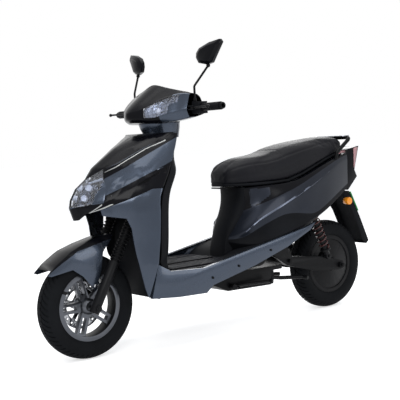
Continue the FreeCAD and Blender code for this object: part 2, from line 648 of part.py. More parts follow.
# place across, then (y, z): nose, brow, ridge, rear top, rear foot, belly, lip
COWL = [(0, (243, 942), (246, 970), (384, 1069), (478, 1030), (500, 925), (400, 896), (272, 912)),
        (70, (272, 940), (276, 976), (392, 1054), (480, 1028), (500, 922), (404, 902), (300, 912)),
        (140, (330, 938), (334, 988), (400, 1040), (482, 1024), (496, 926), (410, 908), (352, 912)),
        (204, (392, 944), (394, 996), (414, 1022), (476, 1014), (486, 934), (430, 918), (402, 922))]


def cowl():
    def section(x, points, inset):
        middle_y = sum(y for y, z in points) / len(points)
        middle_z = sum(z for y, z in points) / len(points)
        ring = []
        for y, z in points:
            length = math.hypot(y - middle_y, z - middle_z)
            scale = 1 - 1.25 * inset / length
            ring.append(V(x, middle_y + (y - middle_y) * scale, middle_z + (z - middle_z) * scale))
        return Part.makePolygon(ring + ring[:1])

    def solid(inset, reach):
        left = [section(x + (reach if x == COWL[-1][0] else 0), points, inset) for x, *points in COWL]
        half = lofted(left)
        return half.fuse(mirrored(half))

    shell = solid(0, 0).cut(solid(WALL, 1))
    shell = shell.cut(on_steering_axis(cylinder(60, V(0, 0, 700), V(0, 0, 835))))
    screen = slab([(396, 1012), (402, 1075), (472, 1045), (466, 1005)], -62, 62)
    lens = front_slab([(22, 936), (60, 926), (150, 962), (182, 1006), (120, 1010), (40, 975)], 200, 420)
    lenses = fuse(lens, mirrored(lens))
    ridge = slab([(200, 958), (246, 968), (330, 1000), (420, 1020), (520, 1012), (520, 1100),
                  (200, 1100)], -140, 140)
    keep("display", shell.common(screen))
    keep("headlamp", shell.common(lenses))
    rest = shell.cut(screen).cut(lenses)
    keep("cowl_top", rest.common(ridge))
    keep("cowl_front", rest.cut(ridge))

    def ring(height, behind, radius_x, radius_y):
        ellipse = Part.Ellipse(V(0, 0, 0), max(radius_x, radius_y), min(radius_x, radius_y)).toShape()
        if radius_y > radius_x:
            ellipse.rotate(V(0, 0, 0), V(0, 0, 1), 90)
        ellipse.translate(V(0, behind, height))
        return Part.Wire(ellipse)

    outer = Part.makeLoft([ring(848, 412, 66, 72), ring(920, 402, 82, 92)], True, True)
    inner = Part.makeLoft([ring(847.9, 412, 63, 69), ring(920.1, 402, 79, 89)], True, True)
    keep("neck_cover", outer.cut(inner).cut(solid(0, 0)))


# ---------------------------------------------------------------- rear suspension
def swingarm():
    outline = [(956, 262), (962, 284), (978, 288), (1190, 262), (1204, 280), (1234, 280), (1246, 250),
               (1330, 226),
               (1338, 207), (1328, 190), (1300, 186), (1150, 200), (970, 250)]
    leg = slab(outline, ARM_X - 10, ARM_X + 10)
    stud = cylinder(6, V(ARM_X, SHOCK_FOOT.y, SHOCK_FOOT.z), V(133, SHOCK_FOOT.y, SHOCK_FOOT.z))
    leg = leg.fuse(stud)
    pivot = cylinder(17, V(-112, SWING_PIVOT.y, SWING_PIVOT.z), V(112, SWING_PIVOT.y, SWING_PIVOT.z))
    arm = fuse(leg, mirrored(leg), pivot)
    arm = arm.cut(cylinder(REAR_AXLE_RADIUS + RUNNING_GAP, V(-130, SWING_PIVOT.y, SWING_PIVOT.z),
                           V(130, SWING_PIVOT.y, SWING_PIVOT.z)))
    axle = cylinder(REAR_AXLE_RADIUS, V(-126, WHEELBASE, WHEEL_RADIUS), V(126, WHEELBASE, WHEEL_RADIUS))
    arm = arm.cut(axle)
    nut = tube(14, REAR_AXLE_RADIUS, V(105, WHEELBASE, WHEEL_RADIUS), V(116, WHEELBASE, WHEEL_RADIUS))
    keep("swingarm", Part.makeCompound([arm, axle, nut, mirrored(nut)]))


def shocks():
    line = SHOCK_FOOT.sub(SHOCK_TOP)
    length = line.Length
    line.normalize()

    def at(distance):
        return SHOCK_TOP.add(line * distance)

    def eye(place):
        return cylinder(15, place.add(V(-9, 0, 0)), place.add(V(9, 0, 0)))

    def bore(place):
        return cylinder(6 + RUNNING_GAP, place.add(V(-20, 0, 0)), place.add(V(20, 0, 0)))

    upper = fuse(eye(SHOCK_TOP), cylinder(26, at(20), at(28)), cylinder(5, at(10), at(190)))
    keep("shock_uppers", pair(upper.cut(bore(SHOCK_TOP))))
    body = cylinder(13, at(118), at(length - 10)).cut(cylinder(8, at(100), at(length - 40)))
    lower = fuse(eye(SHOCK_FOOT), body, tube(24, 12, at(length - 40), at(length - 32)))
    keep("shock_lowers", pair(lower.cut(bore(SHOCK_FOOT))))
    keep("rear_springs", pair(tube(24, 17, at(28.5), at(length - 40.5))))


# ---------------------------------------------------------------- stands, locks and fasteners
STAND_PIVOT = V(0, 890, 205)
SIDE_STAND_PIVOT = V(0, 629, 205)


def stands():
    """The centre stand and the side stand, folded up, and the pins that they turn on."""
    def centre(x, behind, above):
        return STAND_PIVOT.add(V(x, behind, above))

    leg = bent_tube([centre(78, 0, 0), centre(78, 70, -13), centre(84, 205, -27)], 9, 60)
    foot = cylinder(9, centre(84, 198, -26), centre(110, 206, -29))
    cross = cylinder(8, centre(-80, 70, -13), centre(80, 70, -13))
    boss = cylinder(14, centre(66, 0, 0), centre(92, 0, 0))
    stand = fuse(leg, mirrored(leg), foot, mirrored(foot), cross, boss, mirrored(boss))
    keep("centre_stand", stand.cut(cylinder(6 + RUNNING_GAP, centre(-100, 0, 0), centre(100, 0, 0))))

    def side(x, behind, above):
        return SIDE_STAND_PIVOT.add(V(x, behind, above))

    leg = bent_tube([side(145.5, 0, 0), side(146, 71, 1), side(158, 200, -2)], 6.5, 40)
    stand = fuse(cylinder(12, side(139, 0, 0), side(152, 0, 0)), leg,
                 cylinder(11, side(158, 199, -2), side(168, 205, -2)),
                 cylinder(4, side(146, 21, 0), side(168, 23, -7)))
    keep("side_stand", stand.cut(cylinder(6 + RUNNING_GAP, side(120, 0, 0), side(170, 0, 0))))
    centre_pin = cylinder(6, centre(-100, 0, 0), centre(100, 0, 0))
    ear = slab([(878, 193), (878, 243), (902, 243), (902, 193)], 93, 99).cut(centre_pin)
    side_pin = fuse(cylinder(6, side(130, 0, 0), side(153, 0, 0)),
                    cylinder(11, side(152.5, 0, 0), side(158, 0, 0)))
    return [centre_pin, ear, mirrored(ear), side_pin]


def small_parts(stand_pins, lock_barrel):
    port = CHARGE_PORT
    socket = tube(CHARGE_RADIUS, CHARGE_BORE, port.add(V(-30, 0, 0)), port)
    socket = mirrored(socket.fuse(cylinder(CHARGE_RADIUS, port.add(V(-33, 0, 0)),
                                           port.add(V(-30, 0, 0)))))
    screws = [cylinder(5, V(x, y, z), V(x - 4 if x > 0 else x + 4, y, z))
              for side in (1, -1) for x, y,
              z in ((side * 208, 480, 270), (side * 208, 620, 300), (side * 208, 800, 345))]
    keep("body_screws", Part.makeCompound(screws + stand_pins + [socket, lock_barrel]))
    cap = cylinder(CHARGE_RADIUS - 1, port.add(V(0.4, 0, 0)), port.add(V(4, 0, 0)))
    hinge = cylinder(2, port.add(V(2.4, -7, CHARGE_RADIUS)), port.add(V(2.4, 7, CHARGE_RADIUS)))
    web = box(port.x + 1, port.x + 4, port.y - 5, port.y + 5, port.z + 10, port.z + CHARGE_RADIUS)
    keep("charge_cap", mirrored(fuse(cap, hinge, web)))
    key = fuse(cylinder(5.5, V(KEY_X, 380, 690), V(KEY_X, 412, 690)),
               box(KEY_X - 1, KEY_X + 1, 411, 436, 679, 701))
    keep("key", key)


def build():
    front_wheel()
    rear_wheel()
    fork()
    front_fender()
    frame()
    front_panels()
    barrel = knee_panel()
    wheel_liner()
    floor_parts()
    seat_front()
    tail_sides()
    storage_bin()
    tail_parts()
    seat()
    handlebar()
    controls()
    mirrors()
    cowl()
    swingarm()
    shocks()
    small_parts(stands(), barrel)
    os.makedirs("parts", exist_ok=True)
    for name, shape in pieces.items():
        shape.translate(V(0, -NOSE_TO_ORIGIN, 0))
        shape.exportStep("parts/" + name + ".step")
    print(len(pieces), "pieces")


build()
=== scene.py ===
# %% [markdown]
# # A step-through electric scooter
# This script dresses a finished engineering model of a small electric scooter. The model gives the
# places and sizes. Here each piece gets its skin, its rounded edges and its surface finish. We work in
# metres. The x axis points to the rider's left, y to the rear and z up.

# %% Load the model
import json
import math
import bpy
import bmesh
from mathutils import Matrix, Vector

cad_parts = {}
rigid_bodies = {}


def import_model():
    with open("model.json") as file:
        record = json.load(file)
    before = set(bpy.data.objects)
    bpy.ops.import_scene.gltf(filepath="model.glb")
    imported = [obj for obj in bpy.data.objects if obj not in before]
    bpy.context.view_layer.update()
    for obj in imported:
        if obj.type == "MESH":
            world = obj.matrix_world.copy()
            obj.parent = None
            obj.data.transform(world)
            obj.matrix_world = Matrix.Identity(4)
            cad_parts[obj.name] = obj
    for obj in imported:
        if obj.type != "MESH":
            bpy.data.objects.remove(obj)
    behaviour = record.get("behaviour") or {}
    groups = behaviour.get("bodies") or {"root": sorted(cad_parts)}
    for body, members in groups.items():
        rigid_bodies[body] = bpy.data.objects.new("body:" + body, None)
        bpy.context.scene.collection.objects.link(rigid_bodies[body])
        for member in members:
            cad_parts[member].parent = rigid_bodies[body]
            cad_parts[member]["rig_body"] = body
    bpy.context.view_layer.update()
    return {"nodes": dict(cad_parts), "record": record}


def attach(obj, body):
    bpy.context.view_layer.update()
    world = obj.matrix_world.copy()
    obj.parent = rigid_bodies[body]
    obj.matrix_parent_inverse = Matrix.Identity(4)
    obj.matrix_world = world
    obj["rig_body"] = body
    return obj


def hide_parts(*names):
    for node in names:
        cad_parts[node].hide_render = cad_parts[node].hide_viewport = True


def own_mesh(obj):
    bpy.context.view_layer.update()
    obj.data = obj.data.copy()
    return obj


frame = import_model()
nodes = frame["nodes"]

# %% [markdown]
# Scooter makers draw in millimetres from the front axle, because the wheels set out everything else. A
# small function turns such a measure into a place in the scene, so that the numbers below read like a
# drawing.

# %% Places from the drawing
AXLE_TO_MIDDLE = 675
LEAN = math.radians(30)
WHEEL_R = 207

def at(x, y, z):
    return Vector((x / 1000, (y - AXLE_TO_MIDDLE) / 1000, z / 1000))

def on_fork(x, behind, height):
    """A place measured along the leaning steering axis."""
    return at(x, 40 + behind * math.cos(LEAN) + height * math.sin(LEAN),
              WHEEL_R + height * math.cos(LEAN) - behind * math.sin(LEAN))

def drawn_y(place):
    """How far behind the front axle a place lies, in millimetres."""
    return place.y * 1000 + AXLE_TO_MIDDLE

print("handlebar centre", tuple(round(v, 3) for v in on_fork(0, -26, 855)))

# %% [markdown]
# The camera stands off the scooter's left front corner at about the height of the seat, with a long
# lens, as a catalogue view is taken. We build its three axes by hand, because a tilt about the line of
# sight is easier to give that way than as three angles.

# %% Camera
CAMERA_PLACE = (3.1779, -2.4788, 0.8516)
turn, dip, tilt = math.radians(53), math.radians(4), math.radians(-3.3)
ahead = Vector((-math.sin(turn) * math.cos(dip), math.cos(turn) * math.cos(dip), -math.sin(dip)))
across = Vector((math.cos(turn), math.sin(turn), 0))
upward = across.cross(ahead)
right_axis = across * math.cos(tilt) + upward * math.sin(tilt)
up_axis = upward * math.cos(tilt) - across * math.sin(tilt)
bpy.ops.object.camera_add()
camera = bpy.context.active_object
axes = Matrix((right_axis, up_axis, -ahead)).transposed().to_4x4()
camera.matrix_world = Matrix.Translation(CAMERA_PLACE) @ axes
camera.data.sensor_width = 36
camera.data.lens = 83.63
bpy.context.scene.camera = camera
bpy.context.scene.view_settings.view_transform = "Standard"
print("lens", camera.data.lens)

# %% [markdown]
# Glossy black panels show what stands round them, so the light is a few large soft boxes: one overhead,
# one at the left front and a weaker one behind. The world gives an even fill. What the camera and the
# mirror-like surfaces see of it is white.

# %% Lights and world
def soft_box(place, target, size, power):
    bpy.ops.object.light_add(type="AREA", location=place)
    lamp = bpy.context.active_object
    lamp.data.shape = "RECTANGLE"
    lamp.data.size, lamp.data.size_y = size
    lamp.data.energy = power
    lamp.rotation_euler = (Vector(target) - Vector(place)).to_track_quat("-Z", "Y").to_euler()
    return lamp

soft_box((0.3, -0.1, 3.2), (0, 0, 0.4), (2.4, 2.8), 62)
soft_box((2.6, -2.4, 2.3), (0, -0.3, 0.6), (1.5, 1.2), 42)
soft_box((-2.2, 2.4, 2.0), (0, 0.2, 0.5), (1.4, 1.4), 26)
soft_box((3.0, 1.6, 1.4), (0, 0.4, 0.5), (1.0, 1.6), 20)
world = bpy.data.worlds.new("studio")
bpy.context.scene.world = world
world.use_nodes = True
air = world.node_tree
path = air.nodes.new("ShaderNodeLightPath")
def larger(tree, *outputs):
    """A node that passes on the larger of two values."""
    node = tree.nodes.new("ShaderNodeMath")
    node.operation = "MAXIMUM"
    for place, output in zip(node.inputs, outputs):
        tree.links.new(output, place)
    return node.outputs[0]
def background(colour, strength):
    node = air.nodes.new("ShaderNodeBackground")
    node.inputs["Color"].default_value = (*colour, 1)
    node.inputs["Strength"].default_value = strength
    return node.outputs[0]
seen = larger(air, path.outputs["Is Camera Ray"], path.outputs["Is Transmission Ray"])
seen = larger(air, seen, path.outputs["Is Glossy Ray"])
blend = air.nodes.new("ShaderNodeMixShader")
air.links.new(seen, blend.inputs[0])
air.links.new(background((0.92, 0.95, 1.0), 0.5), blend.inputs[1])
air.links.new(background((1, 1, 1), 1.0), blend.inputs[2])
air.links.new(blend.outputs[0], air.nodes["World Output"].inputs[0])

# %% [markdown]
# A finish in a computer picture is flat until it varies. Each finish below starts from the same few
# nodes: a wide noise that shifts the colour and the roughness a little, as dust and handling do, and a
# fine one that lifts the surface, as moulding grain or orange peel does. All read Object coordinates.

# %% A finish with tone and grain
def finish(name, colour, rough, metal=0.0, coat=0.0, tone=0.10, grain=1400, lift=0.15, depth=0.0002,
           cells=False, spread=0.05, shine=0.2):
    material = bpy.data.materials.new(name + "_finish")
    material.use_nodes = True
    tree = material.node_tree
    shader = tree.nodes["Principled BSDF"]
    shader.inputs["Metallic"].default_value = metal
    shader.inputs["Coat Weight"].default_value = coat
    shader.inputs["Specular IOR Level"].default_value = shine
    shader.inputs["Coat Roughness"].default_value = 0.04
    place = tree.nodes.new("ShaderNodeTexCoord")
    wide = tree.nodes.new("ShaderNodeTexNoise")
    wide.inputs["Scale"].default_value = 11
    wide.inputs["Detail"].default_value = 5
    fine = tree.nodes.new("ShaderNodeTexVoronoi" if cells else "ShaderNodeTexNoise")
    fine.inputs["Scale"].default_value = grain
    tree.links.new(place.outputs["Object"], wide.inputs["Vector"])
    tree.links.new(place.outputs["Object"], fine.inputs["Vector"])
    ramp = tree.nodes.new("ShaderNodeValToRGB")
    ramp.color_ramp.elements[0].position = 0.3
    ramp.color_ramp.elements[1].position = 0.7
    ramp.color_ramp.elements[0].color = [c * (1 - tone) for c in colour] + [1]
    ramp.color_ramp.elements[1].color = [c * (1 + tone) for c in colour] + [1]
    tree.links.new(wide.outputs[0], ramp.inputs[0])
    tree.links.new(ramp.outputs[0], shader.inputs["Base Color"])
    worn = tree.nodes.new("ShaderNodeMapRange")
    worn.inputs["To Min"].default_value = max(0.02, rough - spread)
    worn.inputs["To Max"].default_value = rough + spread
    tree.links.new(wide.outputs[0], worn.inputs[0])
    tree.links.new(worn.outputs[0], shader.inputs["Roughness"])
    relief = tree.nodes.new("ShaderNodeBump")
    relief.inputs["Strength"].default_value = lift
    relief.inputs["Distance"].default_value = depth
    tree.links.new(fine.outputs[0], relief.inputs["Height"])
    tree.links.new(relief.outputs[0], shader.inputs["Normal"])
    return material

# %% [markdown]
# The scooter has four families of surface: metallic grey paint under lacquer, high-gloss black, grained
# black moulding, and the metals and rubbers of the running gear. One entry each keeps them consistent.

# %% The scooter's finishes
look = {}
def add(name, *values, **extra):
    look[name] = finish(name, *values, **extra)
add("body_grey", (0.037, 0.048, 0.069), 0.27, metal=0.75, coat=0.30, tone=0.05, grain=2600, lift=0.06,
    depth=0.0001)
add("gloss_black", (0.0028, 0.0030, 0.0045), 0.20, tone=0.15, grain=420, lift=0.02, shine=0.09)
add("matt_black", (0.0060, 0.0066, 0.0082), 0.55, tone=0.18, grain=1500, lift=0.3, cells=True,
    shine=0.05)
add("rubber", (0.0060, 0.0062, 0.0075), 0.62, tone=0.2, grain=1100, lift=0.3, shine=0.06)
add("tyre", (0.0062, 0.0068, 0.0080), 0.70, tone=0.25, grain=900, lift=0.4, shine=0.06)
add("black_steel", (0.0036, 0.0038, 0.0045), 0.38, tone=0.2, grain=800, lift=0.12, shine=0.08)
add("alloy", (0.36, 0.37, 0.40), 0.30, metal=1.0, tone=0.05, grain=1800, lift=0.1)
add("bright_steel", (0.34, 0.35, 0.37), 0.26, metal=1.0, tone=0.08, grain=1600, lift=0.08)
add("black_alloy", (0.0060, 0.0062, 0.0072), 0.38, tone=0.2, grain=900, lift=0.15, shine=0.10)
add("leather", (0.0040, 0.0042, 0.0062), 0.50, tone=0.15, grain=620, lift=0.4, depth=0.0004, cells=True,
    shine=0.12)
# A lighter metallic black that stands for the sky's reflection in the gloss-black side covers: a painted
# reflection.
add("painted_reflection_black", (0.0150, 0.0180, 0.0260), 0.32, metal=0.65, coat=0.12, tone=0.08, grain=2400,
    lift=0.04, depth=0.0001, shine=0.12)
add("screen", (0.003, 0.005, 0.008), 0.08, coat=0.4, tone=0.1, grain=300, lift=0.0)
add("plate", (0.050, 0.29, 0.090), 0.40, tone=0.06, grain=600, lift=0.1)
add("pale_line", (0.42, 0.43, 0.42), 0.30, coat=0.3, tone=0.04, grain=500, lift=0.03)
add("amber", (0.80, 0.27, 0.01), 0.15, coat=0.6, tone=0.08, grain=300, lift=0.05)
# A red darkened well below the spring's own colour because the spring sits in shade: painted shade.
add("red_spring_painted_shade", (0.035, 0.004, 0.004), 0.35, coat=0.3, tone=0.15, grain=700, lift=0.1)
add("spoke", (0.085, 0.090, 0.102), 0.30, metal=0.9, tone=0.08, grain=1800, lift=0.08)
add("reflector", (0.17, 0.19, 0.24), 0.18, metal=1.0, tone=0.12, grain=160, lift=0.3, depth=0.002,
    cells=True)
add("bulb", (0.50, 0.54, 0.64), 0.10, coat=1.0, tone=0.05, grain=300, lift=0.1)
# A light metallic grey for the ribbon along the side-cover crease: a painted highlight.
add("painted_crease_highlight", (0.10, 0.115, 0.155), 0.34, metal=0.75, coat=0.2, tone=0.06, grain=2400, lift=0.04,
    depth=0.0001)
# Lighter rubber for the tops of the mats' studs: a painted highlight, which leaves the gutters darker as
# painted shade.
add("mat", (0.020, 0.023, 0.031), 0.50, tone=0.25, grain=900, lift=0.3)
for name, colour, density in (("clear_lens", (0.93, 0.95, 1.0), 0.96),
                              ("red_lens", (0.80, 0.50, 0.52), 0.55)):
    glassy = finish(name, colour, 0.05, tone=0.03, grain=240, lift=0.10, depth=0.0005, spread=0.02,
                    shine=0.5)
    shader = glassy.node_tree.nodes["Principled BSDF"]
    shader.inputs["Transmission Weight"].default_value = density
    shader.inputs["IOR"].default_value = 1.2
    look[name] = glassy
slot_of = {part["node"]: part["material_slot"] for part in frame["record"]["subparts"]}
print("finishes", len(look))

# %% [markdown]
# Every operator in Blender works on what is selected. These short helpers do the selecting, so that
# each later cell can say only what is made.

# %% Selecting, editing and finishing
def leave_edit():
    bpy.ops.object.mode_set(mode="OBJECT")

def clear():
    if bpy.context.mode != "OBJECT":
        leave_edit()
    bpy.ops.object.select_all(action="DESELECT")

def hold(piece):
    clear()
    piece.select_set(True)
    bpy.context.view_layer.objects.active = piece

def named(name):
    piece = bpy.context.active_object
    piece.name = name
    piece.data.name = name
    return piece

def settle(piece):
    hold(piece)
    bpy.ops.object.transform_apply(location=True, rotation=True, scale=True)

def modify(piece, kind, **settings):
    hold(piece)
    bpy.ops.object.modifier_add(type=kind)
    modifier = piece.modifiers[-1]
    for key, value in settings.items():
        setattr(modifier, key, value)
    bpy.ops.object.modifier_apply(modifier=modifier.name)

def subdivide(piece, levels):
    modify(piece, "SUBSURF", levels=levels, render_levels=levels)

WALL = 0.0028
def open_all(piece):
    """Enter edit mode with the whole mesh selected."""
    hold(piece)
    bpy.ops.object.mode_set(mode="EDIT")
    bpy.ops.mesh.select_all(action="SELECT")

def close_up(piece, gap=0.00002):
    """Join doubled points and turn every face outwards."""
    open_all(piece)
    bpy.ops.mesh.remove_doubles(threshold=gap)
    bpy.ops.mesh.normals_make_consistent(inside=False)
    leave_edit()

def pick_faces(piece, test):
    """Enter edit mode with only the faces whose middle and normal pass the test."""
    hold(piece)
    bpy.ops.object.mode_set(mode="EDIT")
    bpy.ops.mesh.select_mode(type="FACE")
    mesh = bmesh.from_edit_mesh(piece.data)
    for face in mesh.faces:
        face.select_set(bool(test(face.calc_center_median(), face.normal)))
    bmesh.update_edit_mesh(piece.data)

def paint(piece, finish_name, test=None):
    """Give the whole piece a finish, or only the faces that pass the test."""
    piece.data.materials.append(look[finish_name])
    index = len(piece.data.materials) - 1
    for face in piece.data.polygons:
        if test is None or test(face.center, face.normal):
            face.material_index = index

def shade(piece, angle=35):
    hold(piece)
    bpy.ops.object.shade_smooth_by_angle(angle=math.radians(angle))

def join(pieces, name):
    clear()
    for piece in pieces:
        piece.select_set(True)
    bpy.context.view_layer.objects.active = pieces[0]
    bpy.ops.object.join()
    return named(name)

def flip_if_inside_out(piece):
    size = sum(face.area * face.normal.dot(face.center) for face in piece.data.polygons)
    if size < 0:
        open_all(piece)
        bpy.ops.mesh.flip_normals()
        leave_edit()

def mirror_twin(piece, name):
    """A right-hand copy with its own mesh."""
    hold(piece)
    bpy.ops.object.duplicate()
    twin = named(name)
    twin.scale.x = -1
    settle(twin)
    flip_if_inside_out(twin)
    return twin

def fit(piece, body, slot, *replaced):
    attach(piece, body)
    if replaced:
        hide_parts(*replaced)
    done.update(replaced)
    print(piece.name, len(piece.data.polygons), "faces")

done = set()

# %% [markdown]
# Many panels are sheets that bend two ways. A grid primitive has the right layout for them: each row of
# its points is laid on one cross-section, given as a row of places, and later steps smooth and thicken
# it.

# %% A skin from rows of places
def skin(name, rows):
    clear()
    bpy.ops.mesh.primitive_grid_add(x_subdivisions=len(rows[0]) - 1, y_subdivisions=len(rows) - 1, size=2)
    piece = named(name)
    for point in piece.data.vertices:
        column = round((point.co.x + 1) / 2 * (len(rows[0]) - 1))
        row = round((point.co.y + 1) / 2 * (len(rows) - 1))
        point.co = rows[row][column]
    return piece

def between(table, place):
    """Straight-line look-up in rows of (place, value, value, ...)."""
    if place <= table[0][0]:
        return table[0][1:]
    for low, high in zip(table, table[1:]):
        if place <= high[0]:
            part = (place - low[0]) / (high[0] - low[0])
            return tuple(a + (b - a) * part for a, b in zip(low[1:], high[1:]))
    return table[-1][1:]

def crease(piece, test, amount=1.0):
    """Keep chosen edges sharp when the skin is subdivided."""
    hold(piece)
    bpy.ops.object.mode_set(mode="EDIT")
    bpy.ops.mesh.select_mode(type="EDGE")
    mesh = bmesh.from_edit_mesh(piece.data)
    for edge in mesh.edges:
        edge.select_set(bool(test(edge.verts[0].co, edge.verts[1].co)))
    bmesh.update_edit_mesh(piece.data)
    bpy.ops.transform.edge_crease(value=amount)
    leave_edit()

# %% [markdown]
# ## The seat
# The seat is one long foam pad under a sewn cover: low and wide for the rider, then a step up for the
# passenger. We lay rings of points along its length, turn them into an even mesh with the Remesh
# modifier, and let the Cloth simulation blow it up a little, so that the cover draws in between its
# seams.

# %% Seat: rings along the pad
SEAT = [(689, 34, 640, 654), (692, 50, 634, 676), (703, 66, 632, 699), (720, 82, 631, 714),
        (745, 97, 630, 725), (800, 116, 629, 737), (884, 130, 629, 741), (950, 134, 630, 752),
        (993, 136, 632, 768), (1080, 138, 655, 785), (1152, 130, 679, 793), (1260, 108, 711, 803),
        (1330, 97, 729, 808), (1380, 84, 743, 803), (1400, 66, 752, 792)]
def seat_ring(y, half, low, high):
    tall = high - low
    side = [(0, low), (0.72, low), (0.93, low + 0.02 * tall), (0.985, low + 0.16 * tall),
            (0.97, low + 0.36 * tall), (0.975, low + 0.58 * tall), (0.90, low + 0.80 * tall),
            (0.70, low + 0.93 * tall), (0.36, low + 0.985 * tall), (0, high)]
    left = [at(half * x, y, z) for x, z in side]
    right = [at(-half * x, y, z) for x, z in side[-2:0:-1]]
    return left + right + left[:1]
rings = [seat_ring(*row) for row in SEAT]
first, last = rings[0], rings[-1]
def gathered(ring):
    middle = sum(ring[:-1], Vector()) / (len(ring) - 1)
    return [middle + (place - middle) * 0.02 for place in ring]
seat = skin("seat_pad", [gathered(first)] + rings + [gathered(last)])
close_up(seat)
subdivide(seat, 2)
print("pad points", len(seat.data.vertices))

# %% [markdown]
# The pad rests on a rigid pan, so its underside is held still by a vertex group while the rest swells.
# How far a point may move is capped, which keeps the pad inside the room that the model leaves for it.

# %% Seat: remesh and swell
MOST_SWELLING, HELD_HEIGHT = 0.007, 9
modify(seat, "REMESH", mode="VOXEL", voxel_size=0.006)
start = [point.co.copy() for point in seat.data.vertices]
held = seat.vertex_groups.new(name="held")
for point in seat.data.vertices:
    y = drawn_y(point.co)
    low = between([(row[0], row[2]) for row in SEAT], y)[0]
    held.add([point.index], 1.0 if point.co.z * 1000 < low + HELD_HEIGHT else 0.0, "REPLACE")
hold(seat)
bpy.ops.object.modifier_add(type="CLOTH")
cloth = seat.modifiers[-1]
cloth.settings.use_pressure = True
cloth.settings.uniform_pressure_force = 4
cloth.settings.effector_weights.gravity = 0
cloth.settings.vertex_group_mass = "held"
cloth.settings.tension_stiffness = 25
cloth.settings.bending_stiffness = 6
for moment in range(1, 21):
    bpy.context.scene.frame_set(moment)
bpy.ops.object.modifier_apply(modifier=cloth.name)
bpy.context.scene.frame_set(1)
far = 0.0
for point, was in zip(seat.data.vertices, start):
    move = point.co - was
    far = max(far, move.length)
    if move.length > MOST_SWELLING:
        point.co = was + move * (MOST_SWELLING / move.length)
modify(seat, "SMOOTH", factor=0.5, iterations=4)
print("largest swelling mm", round(far * 1000, 1))

# %% [markdown]
# The cover is sewn from a top panel and a side band. The seam between them is a shallow welt that runs
# all round, with a second seam across the step. We press both into the swollen mesh with a soft
# falloff.

# %% Seat: seams pressed in
# depth and half width of each groove
WELT, BAND, STEP = (2.6, 4.0), (2.2, 9.0), (2.4, 4.5)
def groove(seam, away):
    depth, width = seam
    return depth * math.exp(-(away / width) ** 2)
def seam_depth(place):
    y, z, x = drawn_y(place), place.z * 1000, abs(place.x * 1000)
    half, low, high = between(SEAT, y)
    line, band = low + 0.77 * (high - low), low + 0.36 * (high - low)
    depth = groove(WELT, z - line) if x > 0.5 * half else 0.0
    depth += groove(BAND, z - band) if x > 0.8 * half else 0.0
    if z > line - 8:
        depth += groove(STEP, y - (968 + 0.18 * x))
    return depth
for point, normal in [(v, v.normal.copy()) for v in seat.data.vertices]:
    point.co -= normal * seam_depth(point.co) / 1000
subdivide(seat, 1)
paint(seat, "leather")
shade(seat, 60)
fit(seat, "seat", "leather", "seat_cushion")

# %% [markdown]
# Under the foam is a moulded pan with a rolled edge. It follows the pad's outline a little further in.

# %% Seat pan
PAN_INSET = 7
PAN_FOOT = [(689, 622), (884, 619), (993, 621), (1080, 646), (1152, 669), (1260, 701), (1352, 723),
            (1400, 739)]
pan_rows = []
for y, half, low, high in SEAT:
    wide = max(half - PAN_INSET, 12)
    foot = between(PAN_FOOT, y)[0]
    section = ((-0.96, foot), (-1, foot + 4), (-1, low + 3), (0, low + 5), (1, low + 3),
               (1, foot + 4), (0.96, foot), (0, foot), (-0.96, foot))
    pan_rows.append([at(wide * x, y, z) for x, z in section])
middles = [sum(row[:-1], Vector()) / (len(row) - 1) for row in (pan_rows[0], pan_rows[-1])]
pan = skin("seat_pan", [[middles[0]] * 9] + pan_rows + [[middles[1]] * 9])
close_up(pan)
modify(pan, "BEVEL", width=0.0015, segments=2, limit_method="ANGLE", angle_limit=math.radians(50))
paint(pan, "matt_black")
shade(pan, 40)
fit(pan, "seat", "matt_black", "seat_base")

# %% [markdown]
# ## Tyres
# A scooter tyre has a round tread cut by slanting grooves, with two narrow grooves running round it. We
# lay rows of points round the axle, slanted away from the middle so that the grooves point forwards,
# then sink every third row of tread faces.

# %% Tyre
TYRE = [(0.33, 127.5), (0.33, 134), (0.40, 138), (0.47, 148), (0.497, 158), (0.50, 167), (0.485, 178),
        (0.45, 187), (0.395, 195), (0.33, 200), (0.27, 203.2), (0.235, 204.3), (0.19, 205.5),
        (0.155, 206.2), (0.06, 206.9), (0, 207)]
GROOVE_SLANT, SLANT_POWER = 0.5, 1.3
PITCH_PARTS = (0, 0.40, 0.80)
GROOVE_DEPTH = 0.0042
def tyre(name, width, axle_y, pitches=54):
    """Tread points slant away from the middle. Width is in millimetres."""
    profile = TYRE + [(-x, r) for x, r in TYRE[-2::-1]]
    pitch_size = 2 * math.pi / pitches
    rows = []
    for step in range(pitches * 3 + 1):
        pitch, part = divmod(step, 3)
        row = []
        for x, r in profile:
            turn = (pitch + PITCH_PARTS[part]) * 2 * math.pi / pitches
            turn += GROOVE_SLANT * abs(x) ** SLANT_POWER
            row.append(at(x * width, axle_y + r * math.cos(turn), WHEEL_R + r * math.sin(turn)))
        rows.append(row)
    piece = skin(name, rows)
    close_up(piece)
    middle = at(0, axle_y, WHEEL_R)
    def in_groove(centre, normal):
        place = centre - middle
        side = abs(place.x * 1000) / width
        angle = math.atan2(place.z, place.y) - GROOVE_SLANT * side ** SLANT_POWER
        angle = angle % pitch_size / pitch_size
        radius = math.hypot(place.y, place.z) * 1000
        slanted = angle > PITCH_PARTS[2] and 0.06 < side < 0.43 and radius > 180
        round_the_tyre = 0.155 < side < 0.19 and radius > 200
        return slanted or round_the_tyre
    pick_faces(piece, in_groove)
    bpy.ops.mesh.extrude_region_shrink_fatten(TRANSFORM_OT_shrink_fatten={"value": -GROOVE_DEPTH})
    leave_edit()
    paint(piece, "tyre")
    shade(piece, 40)
    return piece
front_tyre = tyre("front_tyre_skin", 82, 0)
fit(front_tyre, "front_wheel", "tyre", "front_tyre")
rear_tyre = tyre("rear_tyre_skin", 88, 1315)
fit(rear_tyre, "rear_wheel", "tyre", "rear_tyre")

# %% [markdown]
# ## Springs
# A coil spring is a round wire wound on a cylinder. The Screw modifier does exactly that: it takes one
# small circle, turns it round an axis and lifts it by the pitch at each turn.

